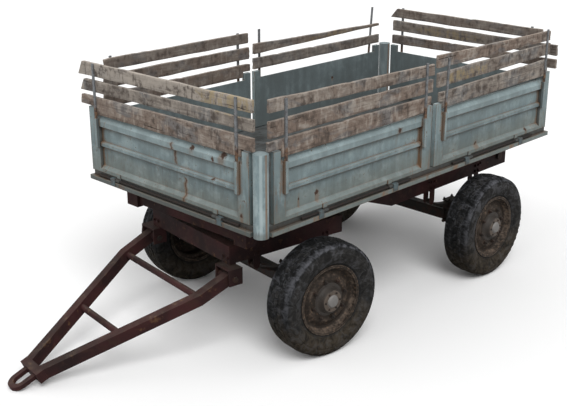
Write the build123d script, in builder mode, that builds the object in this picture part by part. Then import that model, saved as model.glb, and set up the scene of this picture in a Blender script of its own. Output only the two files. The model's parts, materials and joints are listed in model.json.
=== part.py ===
# Two-axle farm drawbar trailer with drop sides and plank side extensions.
# Frame: +X forward to the towing eye, +Y to the trailer's left, +Z up, ground at Z = 0.
import os
from math import asin, atan2, cos, degrees, hypot, radians, sin

from build123d import *

os.makedirs("parts", exist_ok=True)

# Driving sizes in millimetres and degrees
bed_length = 4220
bed_width = 2250
hanger_drop = 85
wheel_base = 2300
tyre_radius = 515
tyre_width = 300
wheel_face = 1180
steer_at_rest = -7.5

# Rail, floor and corner posts of the bed, heights above the rail's underside
rail_depth = 60
rail_lip = 40
rail_step = 30
rail_height = 85
floor_under = 65
floor_thick = 15
post_side = 124
post_round = 61
post_height = 690
slim_post = 66
slim_post_round = 12
slim_post_side_inset = 74
slim_post_end_inset = 82

# Hinge rods along the rail and the clips that hold them
rod_radius = 11
rod_drop_in = 13
rod_above = 62
rod_sides = 12
rod_past_clip = 226
side_clip_share = 0.26
end_clip_share = 0.16
clip_width = 60
clip_wall = 6
clip_under = 8
clip_over = 15
rod_clearance = 0.4

# Drop panels, measured from the hinge rod: outward (minus is inward) and up from the rail's underside
panel_face = -12
panel_back = -54
panel_skin = 10
panel_foot = 88
foot_flange_top = 121
foot_shelf_top = 152
bead_low = 322
bead_high = 375
bead_proud = 26
bead_round = 12
band_low = 518
band_high = 566
plate_top = 615
ear_width = 78
ear_top = 682
end_frame = 52
corner_gap = 44
end_corner_gap = 33
end_past_corner = 12
side_past_corner = 25
middle_gap = 60
middle_gap_left = -110
middle_gap_right = 95
knuckle_width = 50
knuckle_wall = 4
knuckle_strap = 8
knuckle_strap_top = 60
knuckle_gap = 8

# Stakes in their sockets, and the planks behind the stakes
socket_width = 34
socket_inset = 26
socket_out = 28
socket_low = 322
socket_high = 592
stake_width = 26
stake_thick = 12
stake_fit = 0.4
stake_foot = 330
plank_thick = 32
plank_gap = 0.4
plank_lift = 16
plank_notch = 6

# Main beams with a raised neck at the front
beam_outer = 650
beam_width = 80
beam_wall = 12
beam_top = -80
beam_bottom = -400
beam_short_tail = 30
neck_depth = 180
neck_start = -110
neck_end = 490
neck_short_front = 180
neck_block_out = 790
neck_block_in = 640
neck_block_low = 25
neck_block_long = 100
cross_width = 90
cross_deep_rear = 160
cross_deep_neck = 100
cross_rear_up = 60
cross_rear_half = 450
cross_ring_half = 380
bearer_count = 9
bearer_from_tail = 160
bearer_from_front = 210
bearer_width = 60
bearer_wall = 8
bearer_taper = 50
tail_tube_radius = 42
tail_tube_in = 180
tail_tube_up = 110
tail_tube_proud = 30

# Turntable and steering frame
ring_outer = 500
ring_width = 70
ring_gap = 2
ring_height = 46.5
frame_front = 675
frame_rear = 580
frame_half = 615
frame_height = 165
frame_member = 90
frame_centre = 150
kingpin_radius = 30
kingpin_fit = 0.5
nut_gap = 2
nut_height = 20

# Axles, leaf springs and their brackets
axle_size = 110
spindle_radius = 34
spindle_fit = 0.5
spring_half = 370
spring_leaf = 10
spring_leaves = 5
spring_width = 64
spring_sag = 82
spring_eye = 26
leaf_steps = 6
eye_sides = 10
eye_pin = 11.4
spring_eye_above = 245
bracket_wall = 9
bracket_length = 74
bracket_round = 6
bracket_fit = 1.0
spring_row_rear = 610
spring_row_front = 570

# Drawbar, in its own plane from the hinge pins forward
pin_ahead = 690
pin_under_frame = 100
pin_radius = 19
pin_fit = 0.4
pin_head = 27
fork_front = 745
fork_rear = 610
fork_inner = 500
fork_outer = 712
fork_wall = 16
fork_under_frame = 7
fork_depth = 148
arm_width = 84
arm_height = 100
arm_wide = 672
bend_along = 335
bend_half = 652
nose_along = 1625
nose_half = 150
nose_plate = 75
tie_radius = 29
tie_places = (315, 980)
eye_inner = 50
eye_wide = 48
eye_thick = 36
eye_leg = 107
bush_radius = 40

# Wheel and hub
rim_flange = 318
rim_seat = 298
rim_well = 268
rim_width = 244
rim_wall = 9
rim_lip = 9
rim_ease = 2
wheel_sides = 32
hub_sides = 16
drum_radius = 150
hub_end_wall = 20
bead_fit = 0.3
drum_depth = 100
disc_inset = 62
hub_base = 128
hub_end = 98
hub_out = 34
cap_radius = 56
cap_thick = 16

# Heights stack up from the axle: spring eyes, steering frame, turntable, neck and rail
frame_foot = tyre_radius + spring_eye_above + hanger_drop
frame_top = frame_foot + frame_height
bed_height = frame_top + 2 * ring_height + ring_gap + neck_depth
neck_bottom = -neck_depth
pin_height = frame_foot - pin_under_frame
fork_top = frame_foot - fork_under_frame
fork_foot = fork_top - fork_depth

# Places that follow from the driving sizes
half_length = bed_length / 2
half_width = bed_width / 2
beam_tail = half_length - beam_short_tail
neck_front = half_length - neck_short_front
kingpin_x = wheel_base / 2
rod_out = half_width - rod_drop_in
rod_end_out = half_length - rod_drop_in
rod_height = bed_height + rod_above
eye_centre = nose_along + nose_plate + eye_leg
eye_round = eye_inner + eye_wide
eye_reach = eye_centre + eye_round
eye_under = eye_thick / 2

# The towing eye rests on the ground, which gives the drawbar its slope
dip = asin(pin_height / hypot(eye_reach, eye_under)) - atan2(eye_under, eye_reach)
steer = radians(steer_at_rest)
drawbar_slope = degrees(dip)

# The origin is on the ground midway between the eye's tip and the rearmost piece
eye_span = eye_round * hypot(cos(steer) * cos(dip), sin(steer)) + eye_under * sin(dip) * cos(steer)
tip_x = kingpin_x + (pin_ahead + eye_centre * cos(dip)) * cos(steer) + eye_span
rear_reach = max(half_length + clip_wall, rod_end_out + panel_face + socket_out)
bed_x = (rear_reach - tip_x) / 2

bed = Location((bed_x, 0, bed_height))
bogie = Location((bed_x + kingpin_x, 0, 0), (0, 0, steer_at_rest))
rear_axle_place = Location((bed_x - kingpin_x, 0, 0))
drawbar = bogie * Location((pin_ahead, 0, pin_height), (0, drawbar_slope, 0))


def save(part, name, place=Location()):
    """Put a finished piece where it belongs and write its file."""
    piece = part.moved(place)
    piece.label = name
    export_step(piece, "parts/" + name + ".step")


def corners(x, y):
    """The four places at plus and minus x and y."""
    return [(x, y), (x, -y), (-x, y), (-x, -y)]


def turned(outline, sides):
    """A flat-sided turned form about Y: what is common to one long bar, turned step by step."""
    reach = 2 * max(radius for radius, out in outline)
    other_side = [(-radius, out) for radius, out in reversed(outline)]
    with BuildPart() as bar:
        with BuildSketch(Plane.XY):
            with BuildLine():
                Polyline(*outline, *other_side, close=True)
            make_face()
        extrude(amount=reach, both=True)
    with BuildPart() as form:
        add(bar.part)
        for step in range(1, sides // 2):
            add(bar.part.rotate(Axis.Y, 360 * step / sides), mode=Mode.INTERSECT)
    return form.part


# Corner posts: x, y and side of each, with the rounding of its edges. The round posts stand free;
# the slim ones stand behind the end of the panel that runs on past them.
round_in = post_side / 2
slim_in = slim_post / 2
post_rows = (
    (half_length - round_in, half_width - round_in, post_side, post_round),
    (round_in - half_length, round_in - half_width, post_side, post_round),
    (half_length - slim_post_end_inset - slim_in, slim_in - half_width, slim_post, slim_post_round),
    (slim_in - half_length, half_width - slim_post_side_inset - slim_in, slim_post, slim_post_round),
)

# Bed rail: a lip along the outside with a step behind it for the hinge rods
with BuildPart() as bed_rail:
    with BuildSketch(Plane.XY):
        Rectangle(bed_length, bed_width)
        Rectangle(bed_length - 2 * rail_depth, bed_width - 2 * rail_depth, mode=Mode.SUBTRACT)
    extrude(amount=rail_lip)
    with BuildSketch(Plane.XY.offset(rail_lip)):
        Rectangle(bed_length - 2 * rail_step, bed_width - 2 * rail_step)
        Rectangle(bed_length - 2 * rail_depth, bed_width - 2 * rail_depth, mode=Mode.SUBTRACT)
    extrude(amount=rail_height - rail_lip)
    with BuildSketch(Plane.XY):
        for x, y, side, rounding in post_rows:
            with Locations((x, y)):
                Rectangle(side, side)
    extrude(amount=rail_height, mode=Mode.SUBTRACT)
save(bed_rail.part, "bed_rail", bed)

# Floor sheet between the rails, cut round the corner posts
with BuildPart() as floor:
    with BuildSketch(Plane.XY.offset(floor_under)):
        Rectangle(bed_length - 2 * rail_depth, bed_width - 2 * rail_depth)
        for x, y, side, rounding in post_rows:
            with Locations((x, y)):
                Rectangle(side, side, mode=Mode.SUBTRACT)
    extrude(amount=floor_thick)
save(floor.part, "floor", bed)

with BuildPart() as corner_posts:
    for x, y, side, rounding in post_rows:
        with BuildSketch(Plane.XY):
            with Locations((x, y)):
                RectangleRounded(side, side, rounding)
        extrude(amount=post_height)
save(corner_posts.part, "corner_posts", bed)

# Panel rows: name, turn about Z, distance of the rod from the bed's centre, low end, high end,
# and the share of the length between each end and its clip.
# Ends are measured along the panel's own x: forward on the left, rearward on the right,
# to the trailer's right at the front and to its left at the back.
side_end = half_length - post_side - corner_gap
end_end = half_width - post_side - end_corner_gap
panel_rows = (
    ("left_front", 0, rod_out, middle_gap_left + middle_gap / 2, side_end, side_clip_share),
    ("left_rear", 0, rod_out, side_past_corner - half_length, middle_gap_left - middle_gap / 2, side_clip_share),
    ("right_rear", 180, rod_out, -middle_gap_right + middle_gap / 2, side_end, side_clip_share),
    ("right_front", 180, rod_out, -side_end, -middle_gap_right - middle_gap / 2, side_clip_share),
    ("front", -90, rod_end_out, -end_end, half_width - end_past_corner, end_clip_share),
    ("tail", 90, rod_end_out, -end_end, end_end, end_clip_share),
)


def panel_place(turn, out):
    """Place of a panel's hinge line, with y outward."""
    return Location((bed_x, 0, rod_height), (0, 0, turn)) * Location((0, out, 0))


def clip_spots(low, high, share):
    """The two clip places along one panel."""
    inset = share * (high - low)
    return [low + inset, high - inset]


def hinge_rod(first, last):
    """One hinge rod along the rail, past its first and last clip."""
    with BuildPart() as rod:
        with BuildSketch(Plane.YZ.offset(first - rod_past_clip)):
            RegularPolygon(rod_radius, rod_sides)
        extrude(amount=last - first + 2 * rod_past_clip)
    return rod.part


def rod_clip(spot):
    """A plate on the rail's face that folds over the rod."""
    face = rod_drop_in + clip_wall
    with BuildPart() as clip:
        with BuildSketch(Plane.YZ.offset(spot - clip_width / 2)):
            with BuildLine():
                Polyline(
                    (rod_drop_in, clip_under - rod_above),
                    (face, clip_under - rod_above),
                    (face, clip_over - clip_wall),
                    (face - clip_wall, clip_over),
                    (rod_drop_in - rail_step, clip_over),
                    (rod_drop_in - rail_step, rail_lip - rod_above),
                    (rod_drop_in, rail_lip - rod_above),
                    close=True,
                )
            make_face()
            RegularPolygon(rod_radius + rod_clearance, rod_sides, major_radius=False, mode=Mode.SUBTRACT)
        extrude(amount=clip_width)
    return clip.part


rods = []
clips = []
for name, turn, out, low, high, share in panel_rows:
    place = panel_place(turn, out)
    spots = clip_spots(low, high, share)
    rods.append(hinge_rod(*spots).moved(place))
    for spot in spots:
        clips.append(rod_clip(spot).moved(place))
save(Compound(children=rods), "hinge_rods")
save(Compound(children=clips), "rod_clips")


def socket_spots(low, high):
    """The places of a panel's two stake sockets."""
    inset = ear_width + socket_inset + socket_width / 2
    out = panel_face + socket_out / 2
    return [(low + inset, out), (high - inset, out)]


def drop_panel(low, high, share):
    """A pressed panel with ears, stake sockets and hinge knuckles, its rod at the origin."""
    length = high - low
    up = -rod_above
    recess = panel_back + panel_skin
    with BuildPart() as panel:
        with BuildSketch(Plane.YZ.offset(low + ear_width)):
            with BuildLine():
                Polyline(
                    (panel_back, panel_foot + up),
                    (panel_face, panel_foot + up),
                    (panel_face, foot_flange_top + up),
                    (recess, foot_shelf_top + up),
                    (recess, bead_low + up),
                    (recess + bead_proud, bead_low + bead_round + up),
                    (recess + bead_proud, bead_high - bead_round + up),
                    (recess, bead_high + up),
                    (recess, band_low - bead_round + up),
                    (panel_face, band_low + up),
                    (panel_face, band_high + up),
                    (panel_back + panel_skin, plate_top + up),
                    (panel_back, plate_top + up),
                    close=True,
                )
            make_face()
        extrude(amount=length - 2 * ear_width)
        # Ears and the flat frames beside them
        middle = (panel_face + panel_back) / 2
        for inner, outer, top in ((0, ear_width, ear_top), (ear_width, ear_width + end_frame, band_high)):
            inset = (inner + outer) / 2
            with BuildSketch(Plane.XY.offset(panel_foot + up)):
                with Locations((low + inset, middle), (high - inset, middle)):
                    Rectangle(outer - inner, panel_face - panel_back)
            extrude(amount=top - panel_foot)
        # Stake sockets, open at the top
        spots = socket_spots(low, high)
        with BuildSketch(Plane.XY.offset(socket_low + up)):
            with Locations(spots):
                Rectangle(socket_width, socket_out)
        extrude(amount=socket_high - socket_low)
        with BuildSketch(Plane.XY.offset(stake_foot + up)):
            with Locations(spots):
                Rectangle(stake_width + 2 * stake_fit, stake_thick + 2 * stake_fit)
        extrude(amount=socket_high - stake_foot, mode=Mode.SUBTRACT)
        # Knuckles that turn on the rod, beside the clips
        for spot, side in zip(clip_spots(low, high, share), (1, -1)):
            start = spot + side * (clip_width / 2 + knuckle_gap + knuckle_width / 2) - knuckle_width / 2
            with BuildSketch(Plane.YZ.offset(start)):
                RegularPolygon(rod_radius + rod_clearance + knuckle_wall, rod_sides)
                strap_x = panel_face + knuckle_strap / 2
                with Locations((strap_x, knuckle_strap_top / 2)):
                    Rectangle(knuckle_strap, knuckle_strap_top)
                RegularPolygon(rod_radius + rod_clearance, rod_sides, major_radius=False, mode=Mode.SUBTRACT)
            extrude(amount=knuckle_width)
    return panel.part


def panel_stakes(low, high, tops):
    """The stakes in a panel's two sockets, each up to its own top and leaning above the socket."""
    with BuildPart() as stakes:
        for (x, out), (top, lean) in zip(socket_spots(low, high), tops):
            with BuildSketch(Plane.XZ.offset(-out - stake_thick / 2)):
                with BuildLine():
                    Polyline(
                        (x - stake_width / 2, stake_foot - rod_above),
                        (x + stake_width / 2, stake_foot - rod_above),
                        (x + stake_width / 2, socket_high - rod_above),
                        (x + stake_width / 2 + lean, top - rod_above),
                        (x - stake_width / 2 + lean, top - rod_above),
                        (x - stake_width / 2, socket_high - rod_above),
                        close=True,
                    )
                make_face()
            extrude(amount=stake_thick)
    return stakes.part


def plank(outline):
    """One plank behind the stakes, from its outline along the panel."""
    face = panel_face + socket_out / 2 - stake_thick / 2 - plank_gap
    with BuildPart() as board:
        with BuildSketch(Plane.XZ.offset(-face)):
            with BuildLine():
                Polyline(*outline, close=True)
            make_face()
        extrude(amount=plank_thick)
    return board.part


def plank_outline(low, high, row):
    """Outline of a plank: ends past the panel's stakes, sloping edges, points and ear notches."""
    past_low, past_high, under_low, under_high, over_low, over_high, point_low, point_high, notch = row
    start = low + past_low
    end = high - past_high
    points = []
    if notch:
        clear = ear_top + plank_lift
        inside = ear_width + plank_notch
        points += [(start, clear), (low + inside, clear), (low + inside, under_low)]
        points += [(high - inside, under_high), (high - inside, clear), (end, clear)]
    else:
        points += [(start, under_low), (end, under_high)]
    if point_high:
        points += [(end - point_high, over_high)]
    else:
        points += [(end, over_high)]
    if point_low:
        points += [(start + point_low, over_low)]
    else:
        points += [(start, over_low)]
    return [(x, z - rod_above) for x, z in points]


# Plank rows. Columns: inset of the low end, inset of the high end, underside at the low and high end,
# top at the low and high end, length of the point at the low and high end, notched over the ears.
plank_rows = {
    "left_front": (
        (28, -66, 640, 626, 775, 772, 0, 0, True),
        (10, -52, 812, 800, 926, 935, 0, 0, False),
        (-5, -52, 962, 1002, 1062, 1104, 0, 0, False),
    ),
    "left_rear": (
        (68, 40, 655, 634, 820, 782, 0, 0, True),
        (40, 5, 866, 836, 982, 966, 0, 0, False),
        (50, -8, 1012, 1014, 1108, 1128, 0, 0, False),
    ),
    "right_front": (
        (10, -20, 640, 640, 770, 770, 0, 0, True),
        (20, -10, 822, 822, 940, 940, 0, 0, False),
        (30, 6, 985, 985, 1085, 1085, 0, 0, False),
    ),
    "right_rear": (
        (10, -18, 700, 706, 815, 800, 0, 0, False),
        (12, -14, 860, 905, 962, 930, 0, 0, False),
    ),
    "front": (
        (-56, -108, 632, 628, 808, 782, 0, 14, True),
        (-54, -104, 854, 824, 952, 930, 0, 60, False),
        (-50, -126, 1006, 964, 1104, 1086, 0, 66, False),
    ),
    "tail": (
        (0, -205, 700, 722, 800, 812, 0, 0, False),
        (5, -205, 850, 852, 965, 960, 0, 0, False),
        (-30, -20, 1000, 1000, 1100, 1100, 90, 0, False),
    ),
}
# Top of each stake and how far it leans there, at the low and the high socket
stake_tops = {
    "left_front": ((1090, 0), (1092, 0)),
    "left_rear": ((1130, 0), (1088, -22)),
    "right_front": ((1100, 0), (1095, 0)),
    "right_rear": ((1100, 0), (1120, 46)),
    "front": ((1106, 0), (1088, 6)),
    "tail": ((1110, 0), (1110, 0)),
}

for name, turn, out, low, high, share in panel_rows:
    place = panel_place(turn, out)
    save(drop_panel(low, high, share), name + "_panel", place)
    save(panel_stakes(low, high, stake_tops[name]), name + "_stakes", place)
    planks = [plank(plank_outline(low, high, row)) for row in plank_rows[name]]
    save(Compound(children=planks), name + "_planks", place)

# Main beams: deep channels that open inward, with the neck over the bogie
beam_profile = (
    (-beam_tail, beam_bottom),
    (neck_start, beam_bottom),
    (neck_end, neck_bottom),
    (neck_front, neck_bottom),
    (neck_front, beam_top),
    (-beam_tail, beam_top),
)
with BuildPart() as chassis_frame:
    for side in (1, -1):
        with BuildSketch(Plane.XZ.offset(-side * beam_outer)):
            with BuildLine():
                Polyline(*beam_profile, close=True)
            make_face()
        extrude(amount=side * beam_width)
        with BuildSketch(Plane.XZ.offset(-side * (beam_outer - beam_wall))):
            with BuildLine():
                Polyline(*beam_profile, close=True)
            make_face()
            offset(amount=-beam_wall, mode=Mode.REPLACE)
        extrude(amount=side * beam_width, mode=Mode.SUBTRACT)
    # Cross members between the beams: two by the rear axle, three over the turntable
    rear_low = beam_bottom + cross_rear_up
    cross_rows = (
        (-kingpin_x - cross_rear_half, rear_low, cross_deep_rear),
        (-kingpin_x + cross_rear_half, rear_low, cross_deep_rear),
        (kingpin_x - cross_ring_half, neck_bottom, cross_deep_neck),
        (kingpin_x, neck_bottom, cross_deep_neck),
        (kingpin_x + cross_ring_half, neck_bottom, cross_deep_neck),
    )
    for x, low, deep in cross_rows:
        with BuildSketch(Plane.XY.offset(low)):
            with Locations((x, 0)):
                Rectangle(cross_width, 2 * (beam_outer - beam_wall))
        extrude(amount=deep)
    # The front cross member runs on past the beams to a deeper block at each end
    with BuildSketch(Plane.XY.offset(neck_bottom)):
        with Locations((neck_front - cross_width / 2, 0)):
            Rectangle(cross_width, 2 * neck_block_out)
    extrude(amount=cross_deep_neck)
    with BuildSketch(Plane.XY.offset(neck_bottom - neck_block_low)):
        block_middle = (neck_block_out + neck_block_in) / 2
        block_x = neck_front + neck_block_low - neck_block_long / 2
        with Locations((block_x, block_middle), (block_x, -block_middle)):
            Rectangle(neck_block_long, neck_block_out - neck_block_in)
    extrude(amount=cross_deep_neck + neck_block_low)
save(chassis_frame.part, "chassis_frame", bed)

# Floor bearers across the beams, tapered outside them
bearer_pitch = (bed_length - bearer_from_tail - bearer_from_front) / (bearer_count - 1)
bearer_places = [bearer_from_tail - half_length + row * bearer_pitch for row in range(bearer_count)]
with BuildPart() as floor_bearers:
    rail_inside = half_width - rail_depth
    for x in bearer_places:
        with BuildSketch(Plane.YZ.offset(x - bearer_width / 2)):
            with BuildLine():
                Polyline(
                    (-rail_inside, floor_under),
                    (rail_inside, floor_under),
                    (rail_inside, 0),
                    (beam_outer + bearer_taper, beam_top),
                    (-beam_outer - bearer_taper, beam_top),
                    (-rail_inside, 0),
                    close=True,
                )
            make_face()
        extrude(amount=bearer_width)
        with BuildSketch(Plane.YZ.offset(x - bearer_width / 2)):
            with BuildLine():
                Polyline(
                    (-rail_inside + bearer_wall, floor_under - bearer_wall),
                    (rail_inside - bearer_wall, floor_under - bearer_wall),
                    (rail_inside - bearer_wall, bearer_wall),
                    (beam_outer + bearer_taper, beam_top + bearer_wall),
                    (-beam_outer - bearer_taper, beam_top + bearer_wall),
                    (-rail_inside + bearer_wall, bearer_wall),
                    close=True,
                )
            make_face()
        extrude(amount=bearer_width - bearer_wall, mode=Mode.SUBTRACT)
save(floor_bearers.part, "floor_bearers", bed)

# Tube across the tail of the beams
with BuildPart() as tail_tube:
    with BuildSketch(Plane.XZ.offset(-(beam_outer + tail_tube_proud))):
        with Locations((tail_tube_in - half_length, beam_bottom + tail_tube_up)):
            Circle(tail_tube_radius)
    extrude(amount=tail_tube_proud)
    mirror(about=Plane.XZ)
save(tail_tube.part, "tail_tube", bed)

# Upper ring of the turntable under the neck, with the kingpin
ring_top = bed_height + neck_bottom
with BuildPart() as upper_ring:
    with BuildSketch(Plane.XY.offset(ring_top - ring_height)):
        Circle(ring_outer)
        Circle(ring_outer - ring_width, mode=Mode.SUBTRACT)
    extrude(amount=ring_height)
save(upper_ring.part, "upper_ring", Location((bed_x + kingpin_x, 0, 0)))

with BuildPart() as kingpin:
    nut_under = frame_foot - nut_gap - nut_height
    with BuildSketch(Plane.XY.offset(nut_under)):
        Circle(kingpin_radius)
    extrude(amount=ring_top - nut_under)
    with BuildSketch(Plane.XY.offset(nut_under)):
        RegularPolygon(kingpin_radius * 1.7, 6)
    extrude(amount=nut_height)
save(kingpin.part, "kingpin", Location((bed_x + kingpin_x, 0, 0)))

# Lower ring and the steering frame below it
with BuildPart() as lower_ring:
    with BuildSketch(Plane.XY.offset(frame_top)):
        Circle(ring_outer)
        Circle(ring_outer - ring_width, mode=Mode.SUBTRACT)
    extrude(amount=ring_height)
save(lower_ring.part, "lower_ring", bogie)

with BuildPart() as steering_frame:
    with BuildSketch(Plane.XY.offset(frame_foot)):
        with Locations(((frame_front - frame_rear) / 2, 0)):
            Rectangle(frame_front + frame_rear, 2 * frame_half)
            Rectangle(frame_front + frame_rear - 2 * frame_member, 2 * (frame_half - frame_member), mode=Mode.SUBTRACT)
        Rectangle(frame_centre, 2 * frame_half - frame_member)
        Circle(kingpin_radius + kingpin_fit, mode=Mode.SUBTRACT)
    extrude(amount=frame_height)
save(steering_frame.part, "steering_frame", bogie)

# Clevis forks at the front corners of the steering frame
fork_middle = (fork_inner + fork_outer) / 2
with BuildPart() as clevis_forks:
    for side in (1, -1):
        with BuildSketch(Plane.XY.offset(fork_foot)):
            with Locations(((fork_front + fork_rear) / 2, side * fork_middle)):
                Rectangle(fork_front - fork_rear, fork_outer - fork_inner)
        extrude(amount=fork_top - fork_foot)
        with BuildSketch(Plane.XY.offset(fork_foot)):
            with Locations(((fork_front + fork_rear) / 2, side * fork_middle)):
                Rectangle(fork_front - fork_rear, fork_outer - fork_inner - 2 * fork_wall)
        extrude(amount=fork_top - fork_foot - fork_wall, mode=Mode.SUBTRACT)
        with BuildSketch(Plane.XZ.offset(-side * (fork_outer + 1))):
            with Locations((pin_ahead, pin_height)):
                Circle(pin_radius + pin_fit)
        extrude(amount=side * (fork_outer - fork_inner + 2), mode=Mode.SUBTRACT)
        # Gusset up to the steering frame
        with BuildSketch(Plane.XY.offset(fork_top)):
            with Locations(((fork_rear + frame_front) / 2, side * (fork_inner + frame_half) / 2)):
                Rectangle(frame_front - fork_rear, frame_half - fork_inner)
        extrude(amount=frame_foot - fork_top)
save(clevis_forks.part, "clevis_forks", bogie)

with BuildPart() as clevis_pins:
    for side in (1, -1):
        with BuildSketch(Plane.XZ.offset(-side * (fork_outer + 14))):
            with Locations((pin_ahead, pin_height)):
                Circle(pin_radius)
        extrude(amount=side * (fork_outer - fork_inner + 28))
        for spot in (fork_outer + 14, fork_inner - 0.5):
            with BuildSketch(Plane.XZ.offset(-side * spot)):
                with Locations((pin_ahead, pin_height)):
                    RegularPolygon(pin_head, 6)
            extrude(amount=side * 13.5)
save(clevis_pins.part, "clevis_pins", bogie)


def axle():
    """A square axle beam with round spindles and spring seats, across Y at its own centre."""
    beam_half = wheel_face - tyre_width - 40
    with BuildPart() as beam:
        with BuildSketch(Plane.XZ.offset(-beam_half)):
            RectangleRounded(axle_size, axle_size, 12)
        extrude(amount=2 * beam_half)
        spindle_half = wheel_face - disc_inset + hub_out - 40
        with BuildSketch(Plane.XZ.offset(-spindle_half)):
            Circle(spindle_radius)
        extrude(amount=2 * spindle_half)
    return beam.part


def spring_pack():
    """A leaf spring with its ends up, its middle leaf's underside over the axle at z = 0."""
    radius = (spring_half ** 2 + spring_sag ** 2) / (2 * spring_sag)
    centre = radius + spring_leaves * spring_leaf
    pitch = asin(spring_half / radius) / leaf_steps
    with BuildPart() as spring:
        for leaf in range(spring_leaves):
            last = leaf_steps - leaf
            turns = [pitch * step for step in range(-last, last + 1)]
            inner = radius + leaf * spring_leaf
            outer = inner + spring_leaf
            top = [(inner * sin(turn), centre - inner * cos(turn)) for turn in turns]
            under = [(outer * sin(turn), centre - outer * cos(turn)) for turn in turns]
            with BuildSketch(Plane.XZ.offset(-spring_width / 2)):
                with BuildLine():
                    Polyline(*top, *reversed(under), close=True)
                make_face()
            extrude(amount=spring_width)
        # Rolled eyes at the ends of the top leaf
        with BuildSketch(Plane.XZ.offset(-spring_width / 2)):
            with Locations(*eye_spots()):
                RegularPolygon(spring_eye, eye_sides)
                RegularPolygon(eye_pin + bracket_fit, eye_sides, major_radius=False, mode=Mode.SUBTRACT)
        extrude(amount=spring_width)
        # Clamp plate over the middle
        with BuildSketch(Plane.XY.offset(spring_leaves * spring_leaf)):
            Rectangle(axle_size, spring_width + 20)
        extrude(amount=12)
    return spring.part


def eye_spots():
    """Places of the spring's eyes in its own X and Z."""
    rise = spring_sag + spring_leaves * spring_leaf
    along = spring_half + 0.6 * spring_eye
    up = rise + 0.4 * spring_eye
    return [(-along, up), (along, up)]


seat_top = tyre_radius + spring_eye_above - (spring_sag + spring_leaves * spring_leaf + spring_eye * 0.4)


def spring_seats(row):
    """Blocks between the axle and the two springs."""
    with BuildPart() as seats:
        with BuildSketch(Plane.XY.offset(tyre_radius + axle_size / 2)):
            with Locations((0, row), (0, -row)):
                Rectangle(axle_size, spring_width + 20)
        extrude(amount=seat_top - tyre_radius - axle_size / 2)
    return seats.part


def spring_brackets(row, top):
    """Four hanging brackets with their pins, round the eyes of both springs."""
    fork_gap = spring_width / 2 + bracket_fit
    with BuildPart() as brackets:
        for side in (1, -1):
            for x, z in eye_spots():
                with BuildSketch(Plane.XZ.offset(-(side * row + fork_gap + bracket_wall))):
                    with Locations((x, seat_top + z)):
                        RegularPolygon(spring_eye + bracket_round, eye_sides)
                    with Locations((x, (seat_top + z + top) / 2)):
                        Rectangle(bracket_length, top - seat_top - z)
                extrude(amount=bracket_wall)
                with BuildSketch(Plane.XZ.offset(-(side * row - fork_gap))):
                    with Locations((x, seat_top + z)):
                        RegularPolygon(spring_eye + bracket_round, eye_sides)
                    with Locations((x, (seat_top + z + top) / 2)):
                        Rectangle(bracket_length, top - seat_top - z)
                extrude(amount=bracket_wall)
                with BuildSketch(Plane.XY.offset(top - bracket_wall)):
                    with Locations((x, side * row)):
                        Rectangle(bracket_length, 2 * fork_gap)
                extrude(amount=bracket_wall)
                with BuildSketch(Plane.XZ.offset(-(side * row + fork_gap))):
                    with Locations((x, seat_top + z)):
                        RegularPolygon(eye_pin, eye_sides)
                extrude(amount=2 * fork_gap)
    return brackets.part


for name, row, top, place in (
    ("rear", spring_row_rear, bed_height + beam_bottom, rear_axle_place),
    ("front", spring_row_front, frame_foot, bogie),
):
    with BuildPart() as axle_beam:
        add(axle().moved(Location((0, 0, tyre_radius))))
        add(spring_seats(row))
    save(axle_beam.part, name + "_axle", place)
    pair = [spring_pack().moved(Location((0, side * row, seat_top))) for side in (1, -1)]
    save(Compound(children=pair), name + "_springs", place)
    save(spring_brackets(row, top), name + "_spring_brackets", place)


def arm_points(inset, shift):
    """Centre path of one drawbar arm's side: at the pin, the bend and the nose."""
    return [(shift, arm_wide - inset), (bend_along, bend_half - inset), (nose_along, nose_half - inset)]


# Drawbar arms with their hinge bushes, in the drawbar's own plane
with BuildPart() as drawbar_arms:
    for side in (1, -1):
        with BuildSketch(Plane.XY.offset(-arm_height / 2)):
            with BuildLine():
                outer = [(x, side * y) for x, y in arm_points(0, 0)]
                inner = [(x, side * y) for x, y in arm_points(arm_width, 0)]
                Polyline(*outer, *reversed(inner), close=True)
            make_face()
        extrude(amount=arm_height)
        with BuildSketch(Plane.XZ.offset(-side * (fork_outer - fork_wall - 1))):
            Circle(bush_radius)
        extrude(amount=side * (fork_outer - fork_inner - 2 * fork_wall - 2))
        with BuildSketch(Plane.XZ.offset(-side * fork_outer)):
            Circle(pin_radius + pin_fit)
        extrude(amount=side * (fork_outer - fork_inner), mode=Mode.SUBTRACT)
save(drawbar_arms.part, "drawbar_arms", drawbar)


def arm_inside(along):
    """Distance from the drawbar's middle to an arm's inner side."""
    slope = (nose_half - bend_half) / (nose_along - bend_along)
    return bend_half + slope * (along - bend_along) - arm_width


# Round ties between the arms, and the plate that closes the nose
with BuildPart() as drawbar_ties:
    for along in tie_places:
        half = arm_inside(along - tie_radius)
        with BuildSketch(Plane.XZ.offset(-half)):
            with Locations((along, 0)):
                Circle(tie_radius)
        extrude(amount=2 * half)
    add(drawbar_arms.part, mode=Mode.SUBTRACT)
    with BuildSketch(Plane.XY.offset(-arm_height / 2)):
        with Locations((nose_along + nose_plate / 2, 0)):
            Rectangle(nose_plate, 2 * nose_half)
    extrude(amount=arm_height)
save(drawbar_ties.part, "drawbar_ties", drawbar)

# Towing eye: a flat loop welded to the nose plate
with BuildPart() as tow_eye:
    with BuildSketch(Plane.XY.offset(-eye_under)):
        for half, mode in ((eye_round, Mode.ADD), (eye_inner, Mode.SUBTRACT)):
            with Locations((eye_centre, 0)):
                Circle(half, mode=mode)
            with Locations((eye_centre - eye_leg / 2, 0)):
                Rectangle(eye_leg, 2 * half, mode=mode)
    extrude(amount=eye_thick)
save(tow_eye.part, "tow_eye", drawbar)


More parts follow.
